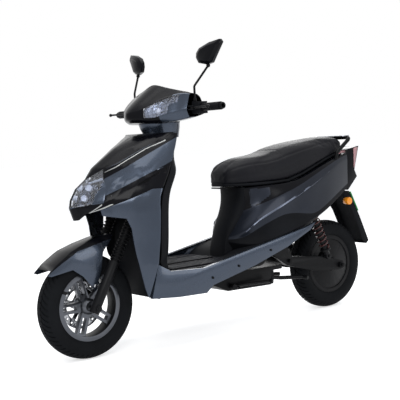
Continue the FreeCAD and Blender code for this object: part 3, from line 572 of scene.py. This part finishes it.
# %% Coil spring
def coil(name, foot, head, outer, wire, turns, finish_name):
    clear()
    bpy.ops.mesh.primitive_circle_add(vertices=8, radius=wire / 1000,
                                      location=((outer - wire) / 1000, 0, 0),
                                      rotation=(math.pi / 2, 0, 0))
    piece = named(name)
    settle(piece)
    length = (head - foot).length - 2 * wire / 1000
    modify(piece, "SCREW", axis="Z", screw_offset=length / turns, iterations=turns, steps=20,
           render_steps=20, use_merge_vertices=False)
    hold(piece)
    bpy.ops.object.mode_set(mode="EDIT")
    bpy.ops.mesh.select_all(action="DESELECT")
    bpy.ops.mesh.select_mode(type="EDGE")
    mesh = bmesh.from_edit_mesh(piece.data)
    for edge in mesh.edges:
        edge.select_set(edge.is_boundary)
    bmesh.update_edit_mesh(piece.data)
    bpy.ops.mesh.edge_face_add()
    leave_edit()
    close_up(piece)
    line = (head - foot).normalized()
    turned = line.to_track_quat("Z", "Y").to_matrix().to_4x4()
    piece.matrix_world = Matrix.Translation(foot + line * wire / 1000) @ turned
    settle(piece)
    paint(piece, finish_name)
    return piece

def spring_pair(name, foot, head, outer, wire, turns, finish_name):
    left = coil(name, foot, head, outer, wire, turns, finish_name)
    both = join([left, mirror_twin(left, name + "_right")], name)
    shade(both, 60)
    return both

fork_springs = spring_pair("fork_coils", on_fork(75, -34.64, 177), on_fork(75, -34.64, 439), 22, 3.4, 19,
                           "black_steel")
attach(fork_springs, "fork_lower")
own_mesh(fork_springs)
fit(fork_springs, "fork_lower", "black_steel", "fork_springs")
top, bottom = at(120, 1095, 560), at(120, 1220, 262)
shock_line = (bottom - top).normalized()
# The rear springs take the darkened red, which is painted shade.
rear_springs = spring_pair("shock_coils", bottom - shock_line * 0.0405, top + shock_line * 0.0285, 24,
                           3.6, 11, "red_spring_painted_shade")
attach(rear_springs, "shock_upper_ends")
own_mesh(rear_springs)
fit(rear_springs, "shock_upper_ends", "black_steel", "rear_springs")

# %% [markdown]
# ## Handlebar cowl
# The cowl is a hollow nose round the handlebar: a black visor with a sharp brow, a clear lens under it
# on each side, a grey wing that curves back over the switches and a grey lip below. We draw its feature
# lines as rows, from the lip up over the brow and the ridge to the rider's side, and smooth the skin
# with creases along the lines that stay crisp.

# %% Cowl: feature lines
ACROSS = [0, 22, 46, 70, 95, 120, 148, 172, 190, 204]
COWL_LINES = {
    "lip": [(268, 914), (272, 913), (284, 912), (300, 910), (318, 909), (336, 909), (360, 911),
        (384, 915), (398, 920), (408, 926)],
    "lip_top": [(247, 926), (252, 924), (264, 922), (281, 919), (303, 919), (322, 922), (343, 930),
        (369, 937), (385, 941), (399, 944)],
    "lens_foot": [(243, 937), (250, 935), (262, 934), (277, 932), (302, 928), (319, 934), (339, 946),
        (366, 952), (382, 957), (397, 960)],
    "lens_mid": [(241, 944), (250, 947), (262, 950), (274, 950), (302, 958), (328, 968), (352, 982),
        (380, 988), (394, 988), (405, 986)],
    "brow": [(242, 951), (253, 958), (265, 961), (276, 966), (309, 988), (341, 1002), (370, 1014),
        (393, 1019), (404, 1019), (414, 1015)],
    "visor": [(262, 976), (266, 978), (278, 978), (292, 981), (322, 1000), (350, 1010), (376, 1019),
        (397, 1022), (408, 1021), (416, 1017)],
    "visor_mid": [(318, 1022), (320, 1021), (328, 1019), (340, 1018), (358, 1022), (374, 1026),
        (392, 1028), (404, 1026), (413, 1023), (420, 1019)],
    "ridge": [(384, 1069), (385, 1067), (388, 1061), (392, 1054), (395, 1048), (399, 1042), (404, 1036),
        (411, 1030), (418, 1026), (425, 1021)],
    "screen_foot": [(470, 1040), (470, 1039), (470, 1037), (470, 1034), (470, 1031), (470, 1028),
        (470, 1024), (470, 1020), (468, 1018), (466, 1015)],
    "back": [(496, 980), (496, 980), (495, 980), (494, 980), (492, 980), (490, 980), (488, 979),
        (485, 978), (482, 977), (479, 976)],
    "back_foot": [(498, 926), (498, 926), (498, 926), (497, 926), (496, 926), (495, 927), (493, 929),
        (490, 932), (487, 934), (484, 936)],
    "belly": [(400, 898), (400, 898), (402, 899), (404, 901), (406, 903), (409, 906), (414, 910),
        (422, 914), (428, 918), (434, 922)],
}
names = list(COWL_LINES)
rows = [[at(x, *COWL_LINES[name][i]) for i, x in enumerate(ACROSS)] for name in names]
rows.append(rows[0])
cowl = skin("cowl", rows)
for finish_name in ("gloss_black", "body_grey", "clear_lens", "screen"):
    cowl.data.materials.append(look[finish_name])
def cowl_zone(row, column):
    line, x = names[row], ACROSS[column]
    if line in ("lens_foot", "lens_mid"):
        return 2 if 70 <= x < (172 if line == "lens_mid" else 148) else (1 if x >= 148 else 0)
    if line == "brow":
        return 1 if x >= 148 else 0
    if line in ("lip", "lip_top", "belly"):
        return 1 if x >= 120 else 0
    if line == "ridge" and x < 70:
        return 3
    return 0
for face in cowl.data.polygons:
    rows_used = [index // len(ACROSS) for index in face.vertices]
    columns_used = [index % len(ACROSS) for index in face.vertices]
    face.material_index = cowl_zone(min(rows_used), min(columns_used))
close_up(cowl)
modify(cowl, "MIRROR", use_axis=(True, False, False), use_clip=True)
close_up(cowl)
def on_lines(*lines):
    places = {(x, y, z) for line in lines for x, (y, z) in zip(ACROSS, COWL_LINES[line])}
    def test(a, b):
        def key(place):
            return (round(abs(place.x) * 1000), round(drawn_y(place)),
                    round(place.z * 1000))
        return key(a) in places and key(b) in places
    return test
crease(cowl, on_lines("brow"), 0.9)
crease(cowl, on_lines("ridge"), 0.75)
crease(cowl, on_lines("lens_foot"), 0.7)
crease(cowl, on_lines("lip"), 0.6)
crease(cowl, on_lines("back_foot"), 0.6)
subdivide(cowl, 3)
print("cowl faces", len(cowl.data.polygons))

# %% [markdown]
# One smooth skin is now divided by finish, so that each moulding is a piece of its own and still meets
# its neighbours without a step. Solidify then gives every moulding its wall.

# %% Cowl: separate mouldings
open_all(cowl)
bpy.ops.mesh.separate(type="MATERIAL")
leave_edit()
cowl_pieces = {}
for piece in list(bpy.context.selected_objects):
    material = piece.data.materials[piece.data.polygons[0].material_index]
    cowl_pieces[material.name.replace("_finish", "")] = piece
for key, piece in cowl_pieces.items():
    kept = look[key]
    piece.data.materials.clear()
    piece.data.materials.append(kept)
    for face in piece.data.polygons:
        face.material_index = 0
    piece.name = piece.data.name = {"gloss_black": "cowl_visor", "body_grey": "cowl_wings",
                                    "clear_lens": "cowl_lenses", "screen": "cowl_screen"}[key]
reflectors = cowl_pieces["clear_lens"].copy()
reflectors.data = reflectors.data.copy()
bpy.context.scene.collection.objects.link(reflectors)
reflectors.name = reflectors.data.name = "cowl_reflectors"
for key, piece in cowl_pieces.items():
    modify(piece, "SOLIDIFY", thickness=WALL, offset=-1)
    shade(piece, 40)
fit(cowl_pieces["gloss_black"], "steering", "gloss_black", "cowl_top")
fit(cowl_pieces["body_grey"], "steering", "body_grey", "cowl_front")
fit(cowl_pieces["clear_lens"], "steering", "clear_lens", "headlamp")
fit(cowl_pieces["screen"], "steering", "screen", "display")

# %% [markdown]
# Behind a clear lens a lamp shows stepped, mirror-bright facets round its light unit. We use the same
# patch of skin, set back into the nose, cut into flat cells, and give it a bright metal finish.

# %% Cowl: lamp insides
def facets(piece, back, depth):
    for point, normal in [(v, v.normal.copy()) for v in piece.data.vertices]:
        point.co -= normal * back
    open_all(piece)
    bpy.ops.mesh.unsubdivide(iterations=4)
    bpy.ops.mesh.inset(thickness=0.0012, depth=-depth, use_individual=True)
    leave_edit()
    piece.data.materials.clear()
    paint(piece, "reflector")
    modify(piece, "SOLIDIFY", thickness=0.001, offset=-1)
    shade(piece, 12)
facets(reflectors, 0.012, 0.005)
fit(reflectors, "steering", "alloy")
for side in (1, -1):
    clear()
    bpy.ops.mesh.primitive_uv_sphere_add(segments=24, ring_count=12, radius=0.013,
                                         location=at(side * 104, 330, 956))
    unit = named("cowl_light_unit_" + ("left" if side > 0 else "right"))
    settle(unit)
    modify(unit, "BEVEL", width=0.0005, segments=1)
    paint(unit, "bulb")
    shade(unit, 60)
    fit(unit, "steering", "clear_lens")

# %% [markdown]
# ## Neck
# Between the cowl and the nose a grey collar turns with the handlebar. It widens upwards and goes into
# the cowl, where a dark band closes the joint.

# %% Neck collar
def oval(y, z, half_width, half_length, count=40):
    ring = [at(half_width * math.sin(2 * math.pi * i / count),
               y - half_length * math.cos(2 * math.pi * i / count), z) for i in range(count)]
    return ring + ring[:1]
NECK = [(412, 848, 66, 72), (411, 852, 67, 73), (408, 870, 71, 79), (405, 888, 76, 85),
        (402, 908, 80, 89), (402, 919, 81, 91)]
neck = skin("neck_collar", [oval(*row) for row in NECK])
close_up(neck)
modify(neck, "SOLIDIFY", thickness=WALL, offset=-1)
paint(neck, "body_grey")
paint(neck, "matt_black", lambda middle, normal: middle.z > 0.906)
shade(neck, 30)
fit(neck, "steering", "body_grey", "neck_cover")

# %% [markdown]
# ## Nose panels
# The grey flanks and the black nose are cut from one smooth skin, so we start from rounded copies of
# the model's panels and slice them along the lines where the paint changes. The Bisect operator slices
# a mesh with a plane, and the faces on each side can then take different finishes.

# %% Rounded copies and slices
def rounded(node, edge=0.7, smooth=32):
    source = nodes[node]
    hold(source)
    bpy.ops.object.duplicate()
    piece = named(node + "_skin")
    for key in [key for key in piece.keys() if key.startswith("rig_")]:
        del piece[key]
    piece.parent = None
    piece.data.materials.clear()
    open_all(piece)
    bpy.ops.mesh.remove_doubles(threshold=0.00002)
    bpy.ops.mesh.dissolve_limited(angle_limit=math.radians(0.6))
    leave_edit()
    if edge:
        modify(piece, "BEVEL", width=edge / 1000, segments=2, limit_method="ANGLE",
               angle_limit=math.radians(38))
    paint(piece, slot_of[node])
    shade(piece, smooth)
    return piece

def slice_along(piece, first, last):
    """Cut along the plane through two (y, z) places, level from side to side."""
    run, rise = last[0] - first[0], last[1] - first[1]
    open_all(piece)
    bpy.ops.mesh.bisect(plane_co=at(0, *first), plane_no=Vector((0, -rise, run)).normalized())
    leave_edit()

def above(first, last, lift=0.0):
    run, rise = last[0] - first[0], last[1] - first[1]
    def test(middle, normal):
        y, z = drawn_y(middle), middle.z * 1000
        return (z - first[1]) * run - (y - first[0]) * rise > lift
    return test

UPPER_PAINT_LINE = ((103, 716), (324, 835))
LOWER_PAINT_LINE = ((22, 624), (278, 742))
flanks = rounded("apron_sides", 0.5)
slice_along(flanks, *UPPER_PAINT_LINE)
slice_along(flanks, *LOWER_PAINT_LINE)
over, under = above(*UPPER_PAINT_LINE), above(*LOWER_PAINT_LINE)
paint(flanks, "gloss_black", lambda middle, normal: over(middle, normal) or not under(middle, normal))
shade(flanks, 32)
fit(flanks, "frame", "body_grey", "apron_sides")

# %% [markdown]
# Thin pale lines follow the nose. Each is a narrow ribbon laid between places on the panel, pulled onto
# the panel's surface with the Shrinkwrap modifier and given a little thickness.

# %% Pale lines
def ribbon(name, line, widths, target, body="frame", finish_name="pale_line", lift=0.0006, thick=0.0005,
           steps=10):
    places = [at(*p) for p in line]
    fine, wide = [], []
    for index, (a, b) in enumerate(zip(places, places[1:])):
        for step in range(steps):
            part = step / steps
            fine.append(a.lerp(b, part))
            wide.append(widths[index] * (1 - part) + widths[index + 1] * part)
    fine.append(places[-1])
    wide.append(widths[-1])
    rows = []
    for index, place in enumerate(fine):
        along = (fine[min(index + 1, len(fine) - 1)] - fine[max(index - 1, 0)]).normalized()
        side = along.cross(Vector((1, -0.55, 0.25)).normalized()).normalized()
        rows.append([place + side * (wide[index] * k / 2000) for k in (-1, 0, 1)])
    piece = skin(name, rows)
    modify(piece, "SHRINKWRAP", target=target, wrap_method="NEAREST_SURFACEPOINT",
           wrap_mode="ABOVE_SURFACE", offset=lift)
    modify(piece, "SOLIDIFY", thickness=thick, offset=0)
    paint(piece, finish_name)
    shade(piece, 40)
    twin = mirror_twin(piece, name + "_right")
    both = join([piece, twin], name)
    fit(both, body, "body_grey")
    return both
nose = rounded("front_apron", 0.5)
fit(nose, "frame", "gloss_black", "front_apron")
ribbon("nose_line_upper", [(167, 312, 839), (127, 239, 808), (101, 172, 771), (86, 124, 745),
                           (60, 88, 727)], (5, 5, 5, 4, 1.5), flanks)
# A thin grey ribbon above the upper pale line: a painted highlight along the nose.
ribbon("nose_highlight_line", [(140, 262, 838), (112, 205, 803), (84, 140, 764), (60, 100, 740)],
       (1, 2.4, 2.4, 1), flanks, finish_name="body_grey")
ribbon("nose_line_flank", [(198, 272, 735), (169, 204, 707), (140, 141, 684), (118, 80, 652)],
       (2, 4, 4, 1), flanks, finish_name="body_grey")
ribbon("nose_dart_lower", [(190, 255, 726), (178, 207, 690), (168, 151, 646), (138, 86, 611),
                           (96, 20, 583), (74, -6, 573)], (1.5, 4, 5, 5, 4, 2), flanks)
ribbon("nose_dart_upper", [(171, 202, 700), (147, 135, 671), (122, 74, 636), (101, 36, 602),
                           (76, -2, 575)], (1, 3, 4, 4, 2), flanks)

# %% [markdown]
# ## Nose lamps
# Each lamp is a clear cover over a bright bucket. The bucket is a grid pushed back behind the cover and
# cut into stepped facets, with two round light units and a slim white running light along the top edge.

# %% Nose lamps
LAMP_EDGE = [(604, 11), (640, 26), (676, 57), (719, 102)]
lens = rounded("apron_lamps", 0.5)
for (low_z, low_y), (high_z, high_y) in zip(LAMP_EDGE, LAMP_EDGE[1:]):
    slice_along(lens, (low_y, low_z), (high_y, high_z))
paint(lens, "body_grey",
      lambda middle, normal: drawn_y(middle) > between(LAMP_EDGE, middle.z * 1000)[0])
shade(lens, 32)
fit(lens, "frame", "clear_lens", "apron_lamps")
def patch(name, corners, count, bow):
    """A four-cornered grid, with its middle bowed back."""
    low_in, low_out, high_out, high_in = [at(*c) for c in corners]
    rows = []
    for i in range(count + 1):
        row = []
        for j in range(count + 1):
            u, v = j / count, i / count
            place = low_in.lerp(low_out, u).lerp(high_in.lerp(high_out, u), v)
            row.append(place + Vector((0, bow * math.sin(math.pi * u) * math.sin(math.pi * v), 0)))
        rows.append(row)
    return skin(name, rows)
CELL_HIGH, CELL_WIDE = 11, 14
def painted_dark_reflection_cell(middle, normal):
    """Every third cell of the bucket, counted along its diagonals, painted black as a painted dark
    reflection in the bright metal.
    """
    return (int(middle.z * 1000 / CELL_HIGH) + int(middle.x * 1000 / CELL_WIDE)) % 3 == 0
for side, word in ((1, "left"), (-1, "right")):
    bucket = patch("lamp_bucket_" + word, [(side * 5, -20, 602), (side * 66, 30, 618),
                                           (side * 74, 104, 706), (side * 5, 50, 690)], 7, 0.012)
    open_all(bucket)
    bpy.ops.mesh.inset(thickness=0.0014, depth=-0.004, use_individual=True)
    leave_edit()
    modify(bucket, "SOLIDIFY", thickness=0.0015)
    paint(bucket, "reflector")
    # Black on every third facet is a painted dark reflection.
    paint(bucket, "gloss_black", painted_dark_reflection_cell)
    shade(bucket, 12)
    fit(bucket, "frame", "alloy")
    units = []
    for x, y, z, size in ((34, 30, 668, 13), (36, 4, 630, 12)):
        clear()
        bpy.ops.mesh.primitive_cylinder_add(vertices=32, radius=size / 1000, depth=0.016,
                                            location=at(side * x, y, z),
                                            rotation=(math.radians(68), 0, math.radians(side * 38)))
        unit = named("unit")
        facing = unit.rotation_euler.to_matrix() @ Vector((0, 0, 1))
        settle(unit)
        pick_faces(unit, lambda middle, normal: normal.dot(facing) > 0.95)
        bpy.ops.mesh.inset(thickness=0.0025)
        bpy.ops.mesh.extrude_region_move(TRANSFORM_OT_translate={"value": facing * -0.004})
        bpy.ops.mesh.inset(thickness=0.003)
        leave_edit()
        paint(unit, "bulb")
        units.append(unit)
    units = join(units, "lamp_units_" + word)
    shade(units, 30)
    fit(units, "frame", "clear_lens")
LIGHT_LINE = [(8, 42, 690), (30, 56, 697), (54, 78, 706), (76, 100, 711)]
bars = []
for side in (1, -1):
    bar = skin("bar", [[at(side * x, y + k, z - k) for x, y, z in LIGHT_LINE] for k in (0, 3, 6)])
    modify(bar, "SOLIDIFY", thickness=0.003)
    paint(bar, "bulb")
    bars.append(bar)
bars = join(bars, "running_lights")
close_up(bars)
fit(bars, "frame", "clear_lens")

# %% [markdown]
# ## Knee panel
# The panel facing the rider bulges at knee height and closes to a flat wedge at the top, behind the
# flanks. Its top dips in the middle, where the collar turns above it.

# %% Knee panel
# height, rear-most point, half width, side edge, roundness of the section
KNEE = [(320, 328, 181, 266, 2.0), (361, 330, 183, 236, 2.0), (380, 333, 204, 232, 2.0),
        (455, 342, 206, 236, 2.0), (594, 348, 205, 246, 2.0), (650, 366, 204, 262, 2.0),
        (709, 408, 199, 300, 1.9), (740, 420, 194, 311, 1.5), (770, 430, 190, 322, 1.2),
        (800, 436, 187, 333, 1.12), (836, 440, 184, 344, 1.1)]
NECK_GAP, GAP_FLOOR = 84, 776
knee_rows = []
for z, rear, half, edge, power in KNEE:
    row = []
    for step in range(-10, 11):
        angle = math.pi / 2 * step / 10
        x = half * math.copysign(abs(math.sin(angle)) ** (2 / power), step)
        top = GAP_FLOOR + max(0.0, abs(x) - NECK_GAP) * 0.6
        row.append(at(x, edge + (rear - edge) * abs(math.cos(angle)) ** (2 / power), min(z, top)))
    knee_rows.append(row)
knee = skin("knee_panel", knee_rows)
subdivide(knee, 2)
modify(knee, "SOLIDIFY", thickness=WALL, offset=-1)
paint(knee, "matt_black")
shade(knee, 40)
fit(knee, "frame", "matt_black", "inner_leg_shield")

# %% [markdown]
# ## Front fender
# A black strip runs along the crest of the fender, over grey sides. We slice the shell along the
# strip's edge, one plane for each straight run, and paint what lies above it.

# %% Fender
STRIP_EDGE = [(-190, 356), (-122, 396), (-50, 433), (32, 448), (84, 459), (124, 466)]
fender = rounded("front_fender", 0.6)
for first_place, last_place in zip(STRIP_EDGE, STRIP_EDGE[1:]):
    slice_along(fender, first_place, last_place)
paint(fender, "gloss_black",
      lambda middle, normal: middle.z * 1000 > between(STRIP_EDGE, drawn_y(middle))[0])
shade(fender, 32)
fit(fender, "fork_lower", "body_grey", "front_fender")
bolts = []
for side in (1, -1):
    clear()
    bpy.ops.mesh.primitive_cylinder_add(vertices=6, radius=0.0065, depth=0.004,
                                        location=at(side * 59.5, 12, 290), rotation=(0, math.pi / 2, 0))
    bolt = named("bolt")
    settle(bolt)
    modify(bolt, "BEVEL", width=0.0009, segments=2)
    paint(bolt, "bright_steel")
    bolts.append(bolt)
bolts = join(bolts, "fender_bolts")
shade(bolts, 30)
fit(bolts, "fork_lower", "bright_steel")

# %% [markdown]
# ## Body under the seat
# A narrow front panel closes the tub below the seat. From its edges a cover sweeps back along each
# side: a crease climbs from the floor to the tail, with a recess under it and the tub's side above it.
# The crease's bright line is a painted highlight, and the band round the crease is a lighter black as
# painted reflection. Each row of points runs from the bottom of the cover to its top, and the rows fan
# out towards the rear.

# %% Seat front panel
# height, front, half width, how far the corners sweep back
TUB_FRONT = [(308, 661, 55, 8), (360, 667, 52, 8), (395, 674, 50, 10), (445, 684, 64, 40),
             (518, 731, 76, 46), (580, 746, 77, 32), (614, 748, 78, 24)]
tub_rows = []
for z, front, half, sweep in TUB_FRONT:
    turns = [math.radians(a) for a in range(-90, 91, 15)]
    row = [at(half * math.sin(a), front + sweep * (1 - math.cos(a)), z) for a in turns]
    tub_rows.append([at(-half - 6, front + sweep + 30, z)] + row + [at(half + 6, front + sweep + 30, z)])
tub = skin("tub_front", tub_rows)
subdivide(tub, 2)
modify(tub, "SOLIDIFY", thickness=WALL, offset=1)
flip_if_inside_out(tub)
paint(tub, "matt_black")
shade(tub, 40)
fit(tub, "frame", "matt_black", "seat_front_panel")

# %% Side covers
COVER = [
    [(42, 698, 350), (48, 686, 386), (49, 687, 390), (50, 689, 394), (52, 692, 402), (66, 722, 444),
     (76, 772, 515), (78, 778, 562), (78, 772, 610), (66, 776, 612)],
    [(70, 720, 344), (78, 708, 378), (79, 710, 386), (80, 712, 394), (83, 716, 410), (103, 750, 462),
     (112, 802, 530), (112, 812, 572), (104, 800, 612), (80, 800, 613)],
    [(96, 740, 340), (108, 730, 372), (106, 736, 388), (108, 742, 402), (116, 741, 424),
     (132, 786, 480), (136, 838, 544), (131, 850, 584), (122, 850, 613), (90, 850, 614)],
    [(144, 782, 338), (156, 776, 368), (140, 786, 400), (142, 792, 438), (148, 791, 472),
     (157, 842, 515), (148, 890, 558), (141, 900, 590), (131, 900, 614), (100, 900, 615)],
    [(172, 836, 352), (184, 836, 388), (165, 838, 425), (168, 840, 464), (178, 864, 512),
     (170, 910, 546), (156, 950, 578), (147, 960, 600), (139, 960, 615), (102, 960, 615)],
    [(175, 922, 372), (190, 920, 408), (168, 922, 450), (174, 925, 494), (184, 940, 542),
     (170, 980, 572), (158, 1020, 598), (150, 1030, 612), (143, 1035, 624), (102, 1035, 624)],
    [(171, 1030, 398), (184, 1030, 434), (172, 1032, 455), (176, 1034, 478), (176, 1060, 588),
     (164, 1085, 612), (154, 1110, 634), (148, 1118, 644), (142, 1122, 652), (100, 1122, 652)],
    [(164, 1100, 448), (172, 1100, 455), (169, 1103, 459), (168, 1106, 464), (164, 1140, 618),
     (152, 1160, 643), (144, 1180, 660), (139, 1185, 668), (134, 1190, 675), (96, 1190, 675)],
    [(150, 1190, 476), (156, 1190, 482), (156, 1194, 492), (156, 1198, 506), (147, 1230, 653),
     (138, 1245, 672), (130, 1260, 686), (125, 1262, 691), (120, 1264, 696), (84, 1264, 696)],
    [(122, 1300, 526), (128, 1300, 530), (128, 1303, 540), (128, 1306, 552), (124, 1320, 688),
     (118, 1330, 700), (112, 1338, 708), (108, 1340, 711), (104, 1342, 714), (74, 1342, 714)],
    [(94, 1386, 560), (100, 1386, 564), (100, 1388, 572), (100, 1390, 582), (104, 1391, 700),
     (102, 1393, 710), (98, 1395, 719), (96, 1396, 724), (94, 1397, 728), (70, 1397, 728)],
]
CREASE_COLUMN, STEP_COLUMN, WING_COLUMN, EDGE_COLUMN, TOP_COLUMN = 4, 3, 6, 1, 8
cover = skin("side_cover_left", [[at(*place) for place in row] for row in COVER])
for finish_name in ("matt_black", "painted_reflection_black", "gloss_black"):
    cover.data.materials.append(look[finish_name])
per_row = len(COVER[0])
# The band from the step to above the crease takes the lighter black, a painted reflection. The bottom
# stays matt and the tub's side gloss black.
for face in cover.data.polygons:
    column = min(index % per_row for index in face.vertices)
    face.material_index = 0 if column < STEP_COLUMN else (1 if column < WING_COLUMN else 2)
def rounded_off(place):
    return tuple(round(v, 4) for v in place)
for column, amount in ((CREASE_COLUMN, 0.85), (STEP_COLUMN, 0.8), (EDGE_COLUMN, 0.9), (TOP_COLUMN, 0.9),
                       (WING_COLUMN, 0.35)):
    line = {rounded_off(at(*row[column])) for row in COVER}
    crease(cover, lambda a, b: rounded_off(a) in line and rounded_off(b) in line, amount)
subdivide(cover, 3)
modify(cover, "SOLIDIFY", thickness=0.0025, offset=-1)
flip_if_inside_out(cover)
shade(cover, 32)
right_cover = mirror_twin(cover, "side_cover_right")
both_covers = join([cover, right_cover], "side_covers_skin")
def painted_highlight_facet(middle, normal):
    """A triangle where the tub's side turns under the seat, painted lighter as a painted highlight."""
    y, z = drawn_y(middle), middle.z * 1000
    return 790 < y < 872 and 520 + (y - 782) * 0.62 < z < 606 and abs(middle.x) > 0.09
# The triangle takes the lighter black as a painted highlight.
paint(both_covers, "painted_reflection_black", painted_highlight_facet)
fit(both_covers, "frame", "gloss_black", "side_covers")

CREASE_LINE = [row[CREASE_COLUMN] for row in COVER[2:9]]
# A thin light ribbon along the crease, a painted highlight.
ribbon("cover_crease_highlight", CREASE_LINE, (2, 7, 9, 8, 6, 4, 1), both_covers, finish_name="painted_crease_highlight")

# %% [markdown]
# Behind the mats the floor climbs beside the tub, to meet the foot of each cover behind the skirt's
# edge.

# %% Rising floor
FLOOR_RISE = [(640, 312), (654, 322), (672, 338), (700, 353), (789, 373), (900, 394), (1010, 414)]
FLOOR_HALF, DISH = 183, 0.00035
floor_across = (-FLOOR_HALF, -150, -110, -60, 0, 60, 110, 150, FLOOR_HALF)
floor_rise = skin("floor_rise", [[at(x, y, z - DISH * (FLOOR_HALF - abs(x)) ** 2) for x in floor_across]
                                 for y, z in FLOOR_RISE])
subdivide(floor_rise, 2)
modify(floor_rise, "SOLIDIFY", thickness=0.003, offset=0)
flip_if_inside_out(floor_rise)
paint(floor_rise, "matt_black")
shade(floor_rise, 40)
fit(floor_rise, "frame", "matt_black")

# %% [markdown]
# The floor carries three rubber mats. Each is a thin pad with rows of small square studs, so that wet
# shoes grip. The studs come from insetting and raising the cells of a grid.

# %% Floor mats
MAT_EDGES = ((42, 152), (-100, 10), (-176, -112))
MAT_FRONT, MAT_LENGTH, MAT_FOOT, STUD_PITCH = 318, 318, 319.2, 9
mats = []
for low_x, high_x in MAT_EDGES:
    columns, lines = round((high_x - low_x) / STUD_PITCH), 34
    rows = [[at(low_x + (high_x - low_x) * i / columns, MAT_FRONT + MAT_LENGTH * j / lines, MAT_FOOT)
             for i in range(columns + 1)] for j in range(lines + 1)]
    pad = skin("mat", rows)
    modify(pad, "SOLIDIFY", thickness=0.002, offset=1)
    flip_if_inside_out(pad)
    pick_faces(pad, lambda middle, normal: normal.z > 0.9)
    bpy.ops.mesh.inset(thickness=0.0022, depth=0.0026, use_individual=True)
    leave_edit()
    paint(pad, "rubber")
    # The stud tops get the lighter rubber, a painted highlight, and the gutters stay darker as painted
    # shade.
    paint(pad, "mat", lambda middle, normal: middle.z > 0.3225 and normal.z > 0.9)
    mats.append(pad)
mats = join(mats, "floor_mats")
shade(mats, 30)
fit(mats, "frame", "rubber")

# %% [markdown]
# ## Tail lamp
# The lamp's lens runs across the back of the tail and wraps a short way round each corner.

# %% Tail lamp
def tail_back(z):
    return 1495 - (757 - z) * 0.30
lens_rows = []
for z, wrap in ((751, 34), (738, 31), (715, 24), (690, 17), (668, 12), (654, 8)):
    y = tail_back(z)
    half_ring = [(85.2, y - wrap), (85.2, y - 5), (81, y + 0.6), (42, y + 1.6), (0, y + 2)]
    lens_rows.append([at(x, place, z) for x, place in half_ring]
                     + [at(-x, place, z) for x, place in half_ring[-2::-1]])
tail_lens = skin("tail_lens", lens_rows)
subdivide(tail_lens, 2)
modify(tail_lens, "SOLIDIFY", thickness=0.0022, offset=0)
paint(tail_lens, "red_lens")
shade(tail_lens, 40)
fit(tail_lens, "frame", "red_lens", "tail_lamp")

# %% [markdown]
# ## The rest of the scooter
# Machined and moulded pieces that already have their true shape only need what every real edge has: a
# small radius that catches the light. We copy each one, join its loose triangles and bevel its edges.

# %% Everything not yet dressed
SPOKE_END, PLATE_HALF = 0.110, 0.0655
for node in sorted(nodes):
    if node in done:
        continue
    piece = rounded(node)
    if node == "front_rim":
        paint(piece, "spoke")
        paint(piece, "black_alloy",
              lambda middle, normal: (middle - at(middle.x * 1000, 0, WHEEL_R)).length > SPOKE_END)
    if node == "body_screws":
        paint(piece, "black_steel")
    if node == "plate_and_indicators":
        paint(piece, "amber",
              lambda middle, normal: abs(middle.x) > PLATE_HALF and drawn_y(middle) < 1425)
    fit(piece, nodes[node]["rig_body"], slot_of[node], node)

# %% [markdown]
# ## Floor
# A pale seamless floor carries the shadow. It is painted near white and gives off a little light to the
# camera only, so that it reads as white paper while the shadow under the scooter stays.

# %% Floor
clear()
bpy.ops.mesh.primitive_plane_add(size=60, location=(0, 0, -0.0005))
floor = named("floor")
settle(floor)
FLOOR_GLOW = 0.58
paper = finish("paper", (0.86, 0.86, 0.86), 0.9, tone=0.005, grain=60, lift=0.0)
tree = paper.node_tree
glow = tree.nodes.new("ShaderNodeEmission")
light_path = tree.nodes.new("ShaderNodeLightPath")
most = larger(tree, light_path.outputs["Is Camera Ray"], light_path.outputs["Is Glossy Ray"])
strength = tree.nodes.new("ShaderNodeMath")
strength.operation = "MULTIPLY"
strength.inputs[1].default_value = FLOOR_GLOW
tree.links.new(most, strength.inputs[0])
tree.links.new(strength.outputs[0], glow.inputs["Strength"])
both = tree.nodes.new("ShaderNodeAddShader")
tree.links.new(tree.nodes["Principled BSDF"].outputs[0], both.inputs[0])
tree.links.new(glow.outputs[0], both.inputs[1])
tree.links.new(both.outputs[0], tree.nodes["Material Output"].inputs[0])
floor.data.materials.append(paper)
